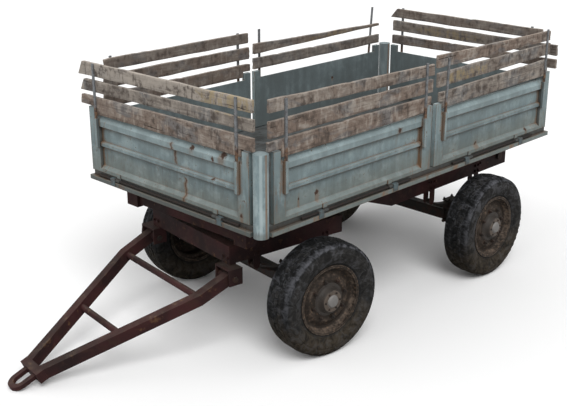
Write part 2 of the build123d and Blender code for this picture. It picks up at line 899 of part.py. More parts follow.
def tyre():
    """A tyre about Y, its outer face at y = half its width."""
    half = tyre_width / 2
    bead_half = rim_width / 2 - rim_lip - rim_ease - bead_fit
    side = [
        (0.5 * (rim_flange + tyre_radius), half),
        (tyre_radius - 46, half - 6),
        (tyre_radius - 10, half - 34),
        (tyre_radius, half - 78),
    ]
    inner_side = [(radius, -out) for radius, out in side]
    dish = [(rim_flange + rim_ease, bead_half), side[0]]
    opening = [(rim_seat + bead_fit, -half), (rim_seat + bead_fit, half)]
    with BuildPart() as casing:
        add(turned(inner_side + side[::-1], wheel_sides))
        add(turned(opening, wheel_sides), mode=Mode.SUBTRACT)
        add(turned(dish, wheel_sides), mode=Mode.SUBTRACT)
        add(turned([(radius, -out) for radius, out in dish], wheel_sides), mode=Mode.SUBTRACT)
    return casing.part


def rim():
    """A dished disc wheel about Y, its outside towards plus y."""
    half = rim_width / 2
    face = tyre_width / 2 - disc_inset
    side = [
        (rim_flange, half),
        (rim_flange, half - rim_lip),
        (rim_seat, half - rim_lip - rim_ease),
        (rim_seat, half - 48),
        (rim_well, half - 66),
    ]
    inner_side = [(radius, -out) for radius, out in side]
    hollow_behind = [
        (rim_seat - rim_wall, -half - 1),
        (rim_seat - rim_wall, -half + 52),
        (rim_well - rim_wall, -half + 70),
        (rim_well - rim_wall, face - 60),
        (190, face - 14),
    ]
    disc_rise = [(rim_well - rim_wall, face - 34), (200, face)]
    hollow_before = [
        (rim_well - rim_wall, face - 34),
        (rim_seat - rim_wall - 4, half - 40),
        (rim_seat - rim_wall + 4, half + 1),
    ]
    middle_hole = [(drum_radius + bead_fit, -half), (drum_radius + bead_fit, half)]
    with BuildPart() as bowl:
        add(turned(hollow_before, wheel_sides))
        add(turned(disc_rise, wheel_sides), mode=Mode.SUBTRACT)
    with BuildPart() as wheel:
        add(turned(inner_side + side[::-1], wheel_sides))
        add(turned(hollow_behind, wheel_sides), mode=Mode.SUBTRACT)
        add(bowl.part, mode=Mode.SUBTRACT)
        add(turned(middle_hole, hub_sides), mode=Mode.SUBTRACT)
    return wheel.part


def hub():
    """A tapered hub with its cap, about Y, on a round bore."""
    face = tyre_width / 2 - disc_inset
    out = tyre_width / 2 + hub_out - 40
    outline = [
        (drum_radius, -drum_depth),
        (drum_radius, face),
        (hub_base, face + 0.5),
        (hub_end, out),
        (cap_radius, out + 0.5),
        (cap_radius - 8, out + cap_thick),
    ]
    with BuildPart() as drum:
        add(turned(outline, hub_sides))
        with BuildSketch(Plane.XZ.offset(drum_depth)):
            Circle(spindle_radius + spindle_fit)
        extrude(amount=-(drum_depth + out - hub_end_wall), mode=Mode.SUBTRACT)
    return drum.part


wheel_middle = wheel_face - tyre_width / 2
casing, disc_wheel, drum = tyre(), rim(), hub()
for name, place, side in (
    ("front_left", bogie, 1),
    ("front_right", bogie, -1),
    ("rear_left", rear_axle_place, 1),
    ("rear_right", rear_axle_place, -1),
):
    turn = 0 if side > 0 else 180
    spot = place * Location((0, side * wheel_middle, tyre_radius), (0, 0, turn))
    save(casing, name + "_tyre", spot)
    save(disc_wheel, name + "_rim", spot)
    save(drum, name + "_hub", spot)

print("bed centre x", round(bed_x, 2), "kingpin x", round(bed_x + kingpin_x, 2), "tip x", round(bed_x + tip_x, 2))
print("drawbar slope", round(drawbar_slope, 3), "rod height", rod_height, "ring height", ring_height)
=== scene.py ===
# Looks of a worn four-wheel farm trailer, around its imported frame.
# Metres, +X to the towing eye, +Y to the trailer's left, +Z up, ground at Z = 0.
import functools
import itertools
import json
import math
import random

import bmesh
import bpy
from bpy.props import FloatProperty, FloatVectorProperty, IntProperty, PointerProperty
from mathutils import Matrix, Vector, noise

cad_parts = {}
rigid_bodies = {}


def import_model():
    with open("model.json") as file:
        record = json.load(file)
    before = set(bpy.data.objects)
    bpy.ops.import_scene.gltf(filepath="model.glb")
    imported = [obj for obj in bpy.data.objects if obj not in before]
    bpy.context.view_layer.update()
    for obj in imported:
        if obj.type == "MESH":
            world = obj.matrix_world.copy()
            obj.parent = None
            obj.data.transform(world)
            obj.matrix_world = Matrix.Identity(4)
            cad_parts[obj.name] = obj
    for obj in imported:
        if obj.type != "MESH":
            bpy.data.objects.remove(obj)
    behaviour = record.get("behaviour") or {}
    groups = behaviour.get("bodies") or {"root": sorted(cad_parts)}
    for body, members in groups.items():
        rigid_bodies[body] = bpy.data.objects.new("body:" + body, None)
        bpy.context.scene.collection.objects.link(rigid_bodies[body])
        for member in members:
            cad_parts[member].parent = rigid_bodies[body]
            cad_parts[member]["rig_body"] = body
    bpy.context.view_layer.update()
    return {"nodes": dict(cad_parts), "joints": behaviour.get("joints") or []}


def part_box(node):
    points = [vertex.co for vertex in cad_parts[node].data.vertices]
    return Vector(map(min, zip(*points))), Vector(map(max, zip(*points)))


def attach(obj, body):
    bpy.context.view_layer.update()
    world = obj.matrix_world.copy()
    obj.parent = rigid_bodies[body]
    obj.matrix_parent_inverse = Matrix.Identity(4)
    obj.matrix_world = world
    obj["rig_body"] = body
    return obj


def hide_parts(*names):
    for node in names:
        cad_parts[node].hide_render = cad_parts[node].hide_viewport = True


bl_info = {
    "name": "Worn Farm Trailer",
    "version": (1, 0, 0),
    "blender": (4, 5, 0),
    "location": "View3D > Sidebar > Trailer",
    "description": "Finishes, tyres, planks and small pieces of a four-wheel farm trailer",
    "category": "Object",
}

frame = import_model()
nodes = frame["nodes"]
joints = {joint["name"]: joint for joint in frame["joints"]}
bed_middle = tuple((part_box("floor")[0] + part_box("floor")[1]) / 2)

wheels = ("front_left", "front_right", "rear_left", "rear_right")
sides = ("left_front", "left_rear", "right_front", "right_rear", "front", "tail")


def srgb(*levels):
    """A colour as it is seen, 0 to 255, as the linear triple that shaders take."""
    shares = [level / 255 for level in levels]
    return tuple(share / 12.92 if share <= 0.04045 else ((share + 0.055) / 1.055) ** 2.4 for share in shares)


def colour(text, red, green, blue):
    """A colour setting with its default."""
    return FloatVectorProperty(name=text, description=text, subtype="COLOR", size=3,
                               default=srgb(red, green, blue), min=0, max=1)


def number(name, text, value, subtype="NONE"):
    """A number's setting with its default."""
    return FloatProperty(name=name, description=text, default=value, subtype=subtype)


def length(name, text, value):
    """A length setting with its default in metres."""
    return FloatProperty(name=name, description=text, default=value, min=0, unit="LENGTH")


class TrailerSizes(bpy.types.PropertyGroup):
    """Sizes of the pieces that are added to the frame."""

    tread_depth: length("Tread depth", "Height of the tread blocks over their grooves", 0.009)
    tread_pitch: IntProperty(name="Tread pitches", description="Blocks round one tyre", default=42, min=12)
    block_edge: length("Block edge", "Bevel on each tread block", 0.003)
    nut_width: length("Nut width", "Width of a wheel nut across its flats", 0.030)
    nut_circle: length("Nut circle", "Radius of the wheel nuts' circle", 0.176)
    nut_count: IntProperty(name="Wheel nuts", description="Nuts on one wheel", default=8, min=3)
    board_edge: length("Board edge", "Worn bevel on a plank's edges", 0.0035)
    board_step: length("Board step", "Distance between the cuts along a plank", 0.045)
    board_wear: length("Board wear", "How far a plank's edges wander", 0.006)
    end_wear: length("End wear", "How far a plank's ends are broken back", 0.014)
    clamp_rod: length("Clamp rod", "Radius of the spring clamps' rods", 0.008)


class TrailerColours(bpy.types.PropertyGroup):
    """Colours of the finishes, as they are seen."""

    paint: colour("Blue-grey paint of the bed", 126, 144, 148)
    paint_dull: colour("Weathered paint in the runs", 101, 115, 117)
    # Pale paint: chalking, and also painted highlights on the edges and upward faces of the sides.
    paint_pale: colour("Chalked paint and worn ridges", 160, 176, 178)
    # Grime: dirt, and also painted shade in the corners and recesses.
    grime: colour("Dirt in the corners and recesses", 74, 70, 62)
    earth: colour("Warm dust in the recesses", 118, 110, 88)
    # Darkest dirt, also used as painted shade in tight corners, under downward faces and in the gap above the
    # rail.
    grime_dark: colour("Dirt in the tightest corners", 38, 37, 35)
    # Floor sheet colour, also used as painted shade on the inner faces of the sides and posts.
    deck: colour("Scuffed floor sheet", 86, 89, 89)
    deck_dark: colour("Floor sheet in the dirt", 60, 61, 60)
    # Painted highlight along the posts.
    post_worn: colour("Chalk-white line along the posts", 174, 189, 191)
    clip: colour("Dark paint of the rod clips", 74, 90, 94)
    rust: colour("Orange rust and its stains", 124, 93, 66)
    rust_deep: colour("Bare dark rust", 58, 40, 33)
    oxide: colour("Dark red paint of the chassis", 64, 36, 36)
    oxide_dark: colour("Chassis paint in the dirt", 36, 24, 24)
    dust: colour("Dry dust on upward faces", 112, 104, 94)
    steel: colour("Axles, springs and rods", 38, 35, 33)
    bare_steel: colour("Stakes and nuts", 118, 121, 124)
    wood: colour("Planks", 140, 132, 124)
    wood_cool: colour("Blue-grey patches", 116, 118, 120)
    # Dark wood: cracks and wet patches, and also painted shade on the planks' inner faces.
    wood_dark: colour("Cracks and wet patches", 80, 72, 67)
    # Pale wood: bleaching, and also painted light on the planks' upward faces.
    wood_pale: colour("Bleached grain and top edges", 180, 171, 161)
    wood_warm: colour("Redder boards", 134, 118, 107)
    wood_split: colour("Open cracks along the grain", 44, 36, 32)
    wood_yellow: colour("Old yellow paint", 160, 141, 100)
    rubber: colour("Tread and groove", 29, 30, 31)
    rubber_groove: colour("Shaded rubber in the grooves", 15, 15, 15)
    rubber_dusty: colour("Sidewall and block tops", 56, 54, 52)
    # Pale rubber: scuffs, and also a painted highlight on the shoulders and the upper sidewall.
    rubber_pale: colour("Scuffed shoulder blocks", 98, 99, 104)
    rubber_earth: colour("Dried mud on the sidewall", 62, 54, 43)
    rim: colour("Rusty rim paint", 64, 55, 48)
    # Worn rim colour, also used as a painted highlight on the rim's barrel.
    rim_worn: colour("Rim edges", 108, 95, 84)
    cap: colour("Grey hub caps", 124, 122, 120)
    # Grease, also used as painted shade in the rim's creases and round the hub.
    grease: colour("Greasy hub", 38, 32, 27)


class StageSettings(bpy.types.PropertyGroup):
    """Camera and light."""

    camera_place: FloatVectorProperty(name="Camera place", description="Where the camera stands",
                                      subtype="TRANSLATION", default=(6.527, 6.445, 4.269))
    heading: number("Heading", "Turn of the view about the vertical", 3.9147, "ANGLE")
    fall: number("Fall", "Tilt of the view below the horizon", 0.3446, "ANGLE")
    lens: number("Lens", "Focal length in millimetres", 65.10)
    shift_x: number("Shift across", "Camera shift across", -0.0081)
    shift_y: number("Shift up", "Camera shift up", -0.0013)
    sky: number("Sky", "Strength of the even light", 0.60)
    key: number("Key", "Strength of the key light", 1.9)
    fill: number("Fill", "Strength of the fill light", 0.5)
    floor: colour("Pale floor", 252, 252, 252)
    floor_bounce: colour("The floor as the trailer's underside sees it", 84, 82, 79)
    floor_half: length("Floor half", "Half the floor's width", 60)


def sizes():
    """The size settings."""
    return bpy.context.scene.trailer_sizes


def colours():
    """The colour settings."""
    return bpy.context.scene.trailer_colours


# Shader maths

class Value:
    """An output of a shader node that takes Python's operators as Math nodes."""

    def __init__(self, finish, socket):
        self.finish = finish
        self.socket = socket

    def maths(self, operation, *values, clamp=False):
        return self.finish.node("ShaderNodeMath", {"operation": operation, "use_clamp": clamp}, values)

    def __add__(self, other):
        return self.maths("ADD", self, other)

    def __radd__(self, other):
        return self.maths("ADD", other, self)

    def __sub__(self, other):
        return self.maths("SUBTRACT", self, other)

    def __rsub__(self, other):
        return self.maths("SUBTRACT", other, self)

    def __mul__(self, other):
        return self.maths("MULTIPLY", self, other)

    def __rmul__(self, other):
        return self.maths("MULTIPLY", other, self)

    def __abs__(self):
        return self.maths("ABSOLUTE", self)

    def clamped(self):
        return self.maths("ADD", self, 0.0, clamp=True)

    def larger(self, other):
        return self.maths("MAXIMUM", self, other)

    def rise(self, low, high, start=0.0, end=1.0):
        """Start below low, end above high, and smooth between."""
        settings = {"interpolation_type": "SMOOTHSTEP"}
        return self.finish.node("ShaderNodeMapRange", settings, (self, low, high, start, end))

    def fall(self, low, high):
        """1 below low, 0 above high, and smooth between."""
        return self.rise(low, high, 1.0, 0.0)


class Finish:
    """A material whose nodes come from method calls."""

    def __init__(self, name):
        self.material = bpy.data.materials.new(name)
        self.material.use_nodes = True
        self.tree = self.material.node_tree
        self.shader = self.tree.nodes["Principled BSDF"]
        self.place = self.node("ShaderNodeTexCoord", out="Object")
        self.x, self.y, self.z = (self.part(self.place, axis) for axis in "XYZ")
        self.normal = self.node("ShaderNodeNewGeometry", out="Normal")
        self.base = None

    def node(self, kind, settings=None, values=(), named=None, out=0):
        """A node with its settings, its inputs in order or by name, and one of its outputs."""
        made = self.tree.nodes.new(kind)
        for name, value in (settings or {}).items():
            setattr(made, name, value)
        for index, value in enumerate(values):
            self.feed(made.inputs[index], value)
        for name, value in (named or {}).items():
            self.feed(made.inputs[name], value)
        return Value(self, made.outputs[out])

    def feed(self, socket, value):
        """Link a value to a socket, or set the socket to a number, a triple or a named colour."""
        if isinstance(value, str):
            value = getattr(colours(), value)
        if isinstance(value, Value):
            self.tree.links.new(value.socket, socket)
        elif socket.type == "RGBA":
            socket.default_value = (*value[:3], 1.0)
        else:
            socket.default_value = value

    def mix(self, share, first, second):
        """One colour over another."""
        settings = {"data_type": "RGBA", "clamp_factor": True}
        return self.node("ShaderNodeMix", settings, named={0: share, 6: first, 7: second}, out=2)

    def lay(self, share, over):
        """Lay a colour over what is there."""
        self.base = self.mix(share, self.base, over)

    def vector(self, operation, *values, out=0):
        """A Vector Math node."""
        return self.node("ShaderNodeVectorMath", {"operation": operation}, values, out=out)

    def part(self, vector, axis):
        """One axis of a vector."""
        return self.node("ShaderNodeSeparateXYZ", values=(vector,), out=axis)

    def stretched(self, stretch):
        """The place with each axis scaled."""
        return self.vector("MULTIPLY", self.place, stretch)

    def noise(self, scale, detail=3.0, roughness=0.55, at=None, distortion=0.0):
        """Cloudy noise from 0 to 1, mostly between 0.3 and 0.7."""
        named = {"Vector": at or self.place, "Scale": scale, "Detail": detail,
                 "Roughness": roughness, "Distortion": distortion}
        return self.node("ShaderNodeTexNoise", named=named)

    def streaks(self, stretch, detail, roughness=0.55, distortion=0.0):
        """Noise with each axis scaled, which runs along the axis that is scaled least."""
        return self.noise(1.0, detail, roughness, self.stretched(stretch), distortion)

    def edges(self, radius):
        """How sharply the surface turns within a radius: 0 on flats, towards 1 on edges and in corners."""
        rounded = self.node("ShaderNodeBevel", {"samples": 6}, (radius,))
        return 1.0 - self.vector("DOT_PRODUCT", rounded, self.normal, out="Value")

    def crevice(self, reach):
        """0 on open faces, towards 0.5 and more in the corners of the same piece."""
        settings = {"only_local": True, "samples": 8}
        lit = self.node("ShaderNodeAmbientOcclusion", settings, named={"Distance": reach}, out="AO")
        return 1.0 - lit

    def looks(self, direction):
        """How far a face looks along a direction: 1 straight at it, 0 across it."""
        return self.vector("DOT_PRODUCT", self.normal, direction, out="Value")

    def outward(self, weights=(1, 1, 1)):
        """How far a face looks away from the bed's middle, with each axis weighted."""
        apart = self.vector("SUBTRACT", self.place, bed_middle)
        return self.looks(self.vector("MULTIPLY", apart, weights))

    def upward(self):
        """1 on faces that look up, 0 on upright ones, below 0 under them."""
        return self.part(self.normal, "Z")

    def distance(self, point, stretch=(1, 1, 1)):
        """Distance from a point, with each axis weighted."""
        there = tuple(p * s for p, s in zip(point, stretch))
        return self.vector("DISTANCE", self.stretched(stretch), there, out="Value")

    def from_axis(self, wheel):
        """Distance from the line of a wheel's axle."""
        apart = self.vector("SUBTRACT", self.place, wheel["centre"])
        return self.vector("LENGTH", self.vector("CROSS_PRODUCT", apart, wheel["axis"]), out="Value")

    def show(self, roughness, metallic=0.0, height=None, depth=0.001, soft=0.0, gloss=0.5):
        """Send the results to the shader, with edges softened over a width."""
        looks = {"Specular IOR Level": gloss, "Base Color": self.base, "Roughness": roughness,
                 "Metallic": metallic}
        if height is not None:
            named = {"Strength": 1.0, "Distance": depth, "Height": height}
            if soft:
                named["Normal"] = self.node("ShaderNodeBevel", {"samples": 6}, (soft,))
            looks["Normal"] = self.node("ShaderNodeBump", named=named, out="Normal")
        for name, value in looks.items():
            self.feed(self.shader.inputs[name], value)
        return self.material


# Heights of the rail's top and of the panels' lower edge over the rods
rail_top = 1.325
panel_foot = 1.371

# Rust marks on the bed: place, radius, and how far the stain runs down
rust_marks = (
    ((1.334, 0.292, 1.862), 0.034, 0.05),
    ((1.334, 0.662, 1.873), 0.046, 0.06),
    ((1.349, 0.553, 1.825), 0.024, 0.16),
    ((1.334, 0.541, 1.654), 0.022, 0.08),
    ((1.314, -0.178, 1.406), 0.016, 0.03),
    ((1.349, 0.878, 1.430), 0.024, 0.05),
    ((0.681, 1.068, 1.505), 0.030, 0.07),
    ((0.897, 1.068, 1.503), 0.012, 0.09),
    ((-0.356, 1.100, 1.830), 0.034, 0.10),
    ((-1.576, 1.090, 1.453), 0.034, 0.05),
    ((-2.448, 1.090, 1.420), 0.026, 0.05),
    ((-1.869, -1.058, 1.716), 0.022, 0.04),
)

# Cracks down the front side: y, low z, high z
cracks = (
    (0.043, 1.660, 1.872),
    (0.170, 1.362, 1.585),
)


def side_lines(inset, share=0.0):
    """Places along X (0) and Y (1) at an inset, or a share of the length, from each side's two ends."""
    lines = []
    for side in sides:
        low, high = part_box(side + "_panel")
        axis = 1 if side in ("front", "tail") else 0
        step = inset + share * (high[axis] - low[axis])
        lines += [(axis, low[axis] + step), (axis, high[axis] - step)]
    return lines


def largest(values):
    """The largest of several outputs."""
    return functools.reduce(Value.larger, values)


def near_lines(f, lines, full, none):
    """1 close to any of the lines across X or Y."""
    return largest(abs((f.x, f.y)[axis] - line).fall(full, none) for axis, line in lines)


def bed_paint(name):
    """Chalky blue-grey paint with soft runs, dirt and painted shade in the corners, painted shade on inner
    faces, undersides and the gap over the rail, painted highlights on edges and upward faces, chipped edges,
    rust marks and cracks.
    """
    f = Finish(name)
    broad = f.noise(1.2, 3)
    patches = f.noise(4.5, 5, 0.6)
    mottled = f.noise(17, 5, 0.65)
    runs = f.streaks((13, 13, 1.1), 4)
    fine_runs = f.streaks((70, 70, 6), 4, 0.6)
    grit = f.noise(120, 3)
    edge = f.edges(0.010)
    corner = f.crevice(0.06)
    tight = f.crevice(0.018)
    outside = f.outward((1, 1, 0)).rise(-0.7, -0.2)
    weather = broad * 0.3 + patches * 0.4 + runs * 0.3
    f.base = f.mix(weather.rise(0.42, 0.58), "paint_dull", "paint")
    f.lay((patches * 0.5 + runs * 0.2 + mottled * 0.3).rise(0.50, 0.64) * 0.60, "paint_pale")
    f.lay((mottled * 0.5 + fine_runs * 0.5).fall(0.36, 0.48) * 0.35, "grime")
    # Painted shade: faces that look into the bed are darkened.
    f.lay((1.0 - outside) * 0.55, "deck")
    f.lay(f.z.fall(1.30, 1.66) * (runs * 0.4 + patches * 0.6).rise(0.36, 0.62) * 0.40, "grime")
    warm = (f.z.fall(1.35, 1.75) * 0.35 + patches * 0.45 + broad * 0.40).rise(0.50, 0.72) * outside
    f.lay(warm * 0.24, "earth")
    f.lay(f.z.rise(1.50, 1.85) * (0.25 + patches * 0.8) * outside * 0.60, "paint_pale")
    # Painted light: upward faces are paler.
    f.lay(f.upward().rise(0.25, 0.9) * (0.45 + mottled * 0.6) * outside * 0.15, "paint_pale")
    # Painted highlight along edges.
    f.lay((edge * 2.6 * (0.3 + fine_runs)).rise(0.10, 0.60) * 0.60 * outside, "paint_pale")
    # Dirt and painted shade in the corners, from ambient occlusion.
    f.lay((corner * (0.7 + runs)).rise(0.05, 0.60) * 0.75, "grime")
    # Painted shade under faces that look down.
    f.lay(f.upward().fall(-0.85, -0.15) * (0.35 + mottled * 0.8) * outside * 0.65, "grime_dark")
    worn_line = (edge * 1.6 + fine_runs * 0.5 + patches * 0.6).rise(0.56, 0.78) * edge.rise(0.01, 0.10)
    f.lay(worn_line * outside * 0.75, "rust")
    ears = near_lines(f, side_lines(0.055), 0.045, 0.105)
    stain = (corner * 0.70 + patches * 0.50 + mottled * 0.40 + ears * 0.05).rise(0.58, 0.80) * outside
    f.lay(stain * 0.66, "rust")
    # Painted shade in the tightest corners.
    f.lay(tight.rise(0.22, 0.50) * 0.75, "grime_dark")
    streak = f.streaks((45, 45, 4.5), 5, 0.65) + ears * 0.09 + corner * 0.10
    f.lay(streak.rise(0.65, 0.76) * 0.60 * outside, "rust")
    under_clips = near_lines(f, side_lines(0.0, 0.26)[:8] + side_lines(0.0, 0.16)[8:], 0.024, 0.060)
    weep = under_clips * f.z.fall(rail_top - 0.007, rail_top + 0.001) * outside
    f.lay(weep * (mottled + fine_runs).rise(0.80, 1.05) * 0.8, "rust")
    chip_field = f.noise(30, 6, 0.65) + edge * 0.30 + (patches - 0.5) * 0.34 + ears * 0.022
    chips = chip_field.rise(0.70, 0.72) * outside
    halo = chip_field.rise(0.65, 0.71) * outside
    marks = None
    for place, radius, run in rust_marks:
        ragged = f.distance(place) + (f.noise(42, 4) - 0.5) * radius * 2.2
        spot = ragged.fall(radius * 0.35, radius)
        below = f.distance((place[0], place[1], place[2] - run / 2), (1, 1, radius / max(run, radius)))
        smear = (below + (runs - 0.5) * radius * 3).fall(radius * 0.3, radius * 1.3) * 0.6
        halo = halo.larger(spot.larger(smear))
        marks = spot if marks is None else marks.larger(spot)
    front_face = f.x.rise(1.28, 1.29)
    for y, low, high in cracks:
        wander = (f.streaks((1, 1, 14), 3) - 0.5) * 0.09
        off_line = abs(f.y - y + wander + (mottled - 0.5) * 0.02)
        span = f.z.rise(low, low + 0.02) * f.z.fall(high - 0.02, high) * front_face
        marks = marks.larger(off_line.fall(0.002, 0.009) * span * (0.4 + mottled))
        halo = halo.larger(off_line.fall(0.004, 0.034) * span * (0.3 + patches))
    f.lay(halo * 0.85, "rust")
    dark = chips.larger(marks.clamped())
    f.lay(dark * 0.9, "rust_deep")
    f.lay(grit.rise(0.56, 0.72) * 0.16, "grime")
    # Painted shade in the gap between the rail's top and the panels' foot.
    groove = f.z.rise(rail_top - 0.0015, rail_top + 0.0015) * f.z.fall(panel_foot - 0.003, panel_foot + 0.003)
    f.lay(groove * outside * (0.65 + mottled * 0.4), "grime_dark")
    # A darker band just under the top of the front rail.
    front_rail = f.x.rise(1.28, 1.33) * f.z.fall(rail_top - 0.009, rail_top - 0.001)
    f.lay(front_rail * (0.30 + patches * 0.5), "grime_dark")
    height = grit * 0.2 + mottled * 0.35 + patches * 0.8 - dark * 0.8
    return f.show(0.50 + halo * 0.3 + mottled * 0.12, height=height, depth=0.0026, soft=0.007, gloss=0.35)


def post_paint(name):
    """Chalky posts with a painted highlight along the line that faces out at each corner, a rust run beside
    it, and painted shade on their inner faces.
    """
    f = Finish(name)
    mottled = f.noise(15, 5, 0.65, at=f.stretched((1, 1, 0.4)))
    runs = f.streaks((60, 60, 5), 5, 0.65)
    f.base = f.mix(mottled.rise(0.42, 0.68), "paint", "paint_pale")
    f.lay((mottled * 0.4 + runs * 0.6).fall(0.36, 0.48) * 0.35, "grime")
    inside = f.outward().fall(-0.9, 0.0)
    # Painted highlight along the line of each post that faces diagonally out.
    highlight_facing = f.vector("DOT_PRODUCT", f.vector("ABSOLUTE", f.normal), (0.70, 0.71, 0.0), out="Value")
    f.lay(highlight_facing.rise(0.955, 0.998) * (0.25 + mottled) * (1.0 - inside), "post_worn")
    # Painted shade on the posts' inner faces.
    f.lay(inside * 0.6, "deck")
    f.lay(f.looks((0.02, 1.0, 0.0)).rise(0.975, 0.998) * (0.15 + runs * 1.2), "rust")
    f.lay((f.z.fall(1.285, 1.42) * 0.5 + runs * 0.6).rise(0.50, 0.75) * 0.55, "grime")
    chips = (f.noise(34, 6, 0.65) + runs * 0.2).rise(0.78, 0.80)
    f.lay(chips, "rust_deep")
    f.lay(f.upward().rise(0.4, 0.8) * 0.6, "paint_dull")
    return f.show(0.42 + mottled * 0.2, height=mottled + runs * 0.3 - chips, depth=0.0016, soft=0.004)


def deck_steel(name):
    """The scuffed floor sheet, with scrapes along the bed and rusty dirt."""
    f = Finish(name)
    patches = f.noise(3.6, 5, 0.6)
    scrapes = f.streaks((2.2, 60, 60), 4, 0.6)
    f.base = f.mix((patches * 0.7 + scrapes * 0.3).rise(0.40, 0.60), "deck_dark", "deck")
    f.lay(scrapes.rise(0.58, 0.70) * 0.45, "paint_dull")
    f.lay(f.noise(9, 5, 0.65).rise(0.56, 0.68) * 0.45, "rust_deep")
    f.lay(f.noise(26, 4).fall(0.34, 0.42) * 0.5, "grime_dark")
    return f.show(0.60 + patches * 0.2, 0.1, scrapes * 0.5 + patches, 0.0018, gloss=0.2)


def clip_paint(name):
    """Dark painted clips with rusty edges and painted shade in their corners."""
    f = Finish(name)
    patches = f.noise(20, 5, 0.6)
    f.base = f.mix(patches.rise(0.38, 0.60), "deck_dark", "clip")
    f.lay((f.edges(0.006) + patches * 0.6).rise(0.42, 0.75) * 0.6, "rust")
    # Painted shade in the clips' corners.
    f.lay(f.crevice(0.02).rise(0.15, 0.5) * 0.7, "grime_dark")
    return f.show(0.62, height=patches, depth=0.0014, soft=0.004)


def oxide_paint(name):
    """Dark red chassis paint under dust and rust."""
    f = Finish(name)
    broad = f.noise(2.2, 3)
    patches = f.noise(11, 5, 0.6)
    grit = f.noise(150, 3)
    f.base = f.mix(broad.rise(0.36, 0.64), "oxide_dark", "oxide")
    f.lay((patches + f.edges(0.008) * 0.25).rise(0.60, 0.74) * 0.45, "rust")
    f.lay(patches.fall(0.34, 0.46) * 0.6, "rust_deep")
    f.lay((f.upward() * 0.55 + patches * 0.5).rise(0.62, 0.95) * 0.28, "dust")
    f.lay(grit.rise(0.56, 0.72) * 0.25, "oxide_dark")
    return f.show(0.62 + patches * 0.25, height=grit * 0.5 + patches * 0.5, depth=0.0018, soft=0.005,
                  gloss=0.15)


def dark_steel(name, dusty=1.0):
    """Dark greasy steel with brown rust and dust."""
    f = Finish(name)
    patches = f.noise(14, 5, 0.6)
    grit = f.noise(170, 3)
    f.base = f.mix(patches.rise(0.42, 0.64) * (0.2 + 0.5 * dusty), "steel", "rust_deep")
    f.lay((f.upward() * 0.5 + patches * 0.5).rise(0.55, 0.85) * 0.35 * dusty, "dust")
    f.lay(f.edges(0.006).rise(0.08, 0.5) * 0.3 * dusty, "rust")
    return f.show(0.55 + patches * 0.3, 0.1, grit * 0.6 + patches * 0.4, 0.0015, gloss=0.2)


def stake_steel(name):
    """Grey stakes that are rusty where they stand in their sockets."""
    f = Finish(name)
    patches = f.noise(24, 5, 0.6)
    f.base = f.mix(patches.rise(0.40, 0.66) * 0.55, "bare_steel", "steel")
    rusty = (f.z.fall(1.90, 2.10) + (patches - 0.5) * 0.9).rise(0.40, 0.80)
    brown = f.mix(f.noise(45, 4).rise(0.40, 0.60), "rust_deep", "rust")
    f.lay(rusty * 0.9, brown)
    f.lay(f.noise(60, 4).rise(0.58, 0.66) * 0.5, "rust_deep")
    return f.show(0.5 + rusty * 0.35, 0.15, patches + f.noise(180, 2) * 0.4, 0.0012)


# Sides whose top board is bleached, with its tone
bleached = {"front": 1.25}

# Old yellow paint on planks: centre and half size
yellow_patches = (
    ((1.349, 0.760, 2.345), (0.10, 0.40, 0.13)),
    ((-1.330, 1.090, 2.190), (0.40, 0.10, 0.060)),
    ((-2.000, -1.090, 2.165), (0.75, 0.10, 0.060)),
    ((-2.850, -0.200, 2.190), (0.10, 0.55, 0.070)),
)


def plank_wood(name, along):
    """Bleached planks, with the grain along X (0) or Y (1), painted light on their upward faces and painted
    shade on their inner faces.
    """
    f = Finish(name)
    tone = f.node("ShaderNodeAttribute", {"attribute_name": "board_tone"}, out="Fac")

    def at(lengthways, across, high):
        """How the place is stretched along the planks, across them and upwards."""
        return (lengthways, across, high) if along == 0 else (across, lengthways, high)

    grain = f.streaks(at(2.4, 60, 60), 5, 0.6, distortion=0.5)
    crack = f.streaks(at(1.5, 95, 95), 2, 0.5)
    patch = f.streaks(at(5.5, 3.0, 9.0), 5, 0.65, distortion=0.7)
    tint = f.streaks(at(3.0, 2.0, 6.0), 4, 0.6, distortion=0.5)
    blotch = f.noise(15, 5, 0.6)
    drip = f.streaks((24, 24, 5), 5, 0.65)
    f.base = f.mix((tone * 0.6 + patch * 0.4).rise(0.34, 0.66), "wood_warm", "wood")
    f.lay(tint.rise(0.50, 0.62) * 0.65, "wood_cool")
    f.lay((patch * 0.5 + grain * 0.2 + blotch * 0.3).rise(0.50, 0.62) * 0.60, "wood_pale")
    f.lay(tone.rise(0.85, 1.25) * (patch * 1.3).clamped(), "wood_pale")
    f.lay((blotch * 0.5 + patch * 0.5).fall(0.39, 0.49) * 0.70, "wood_dark")
    f.lay(grain.fall(0.36, 0.46) * 0.35, "wood_dark")
    f.lay((drip * 0.7 + blotch * 0.3).rise(0.53, 0.62) * 0.50, "wood_pale")
    f.lay((drip * 0.7 + blotch * 0.3).fall(0.37, 0.46) * 0.65, "wood_dark")
    # Painted light: upward faces are paler.
    f.lay((f.upward() + (grain - 0.5) * 0.5).rise(0.45, 0.8) * 0.25, "wood_pale")
    paint = largest((f.distance(centre, [1 / size for size in half]) + (patch - 0.5) * 1.4).fall(0.70, 1.05)
                    for centre, half in yellow_patches)
    flaked = (drip * 0.5 + grain * 0.2 + blotch * 0.3).rise(0.45, 0.56)
    f.lay(paint * flaked * 0.62, "wood_yellow")
    # Painted shade on faces that look into the bed.
    f.lay(f.outward().fall(-0.8, -0.2) * 0.45, "wood_dark")
    split = crack.fall(0.27, 0.31)
    f.lay(split * 0.9, "wood_split")
    height = grain * 0.8 + blotch * 0.3 - split * 1.2
    return f.show(0.86, height=height, depth=0.0035, gloss=0.15)


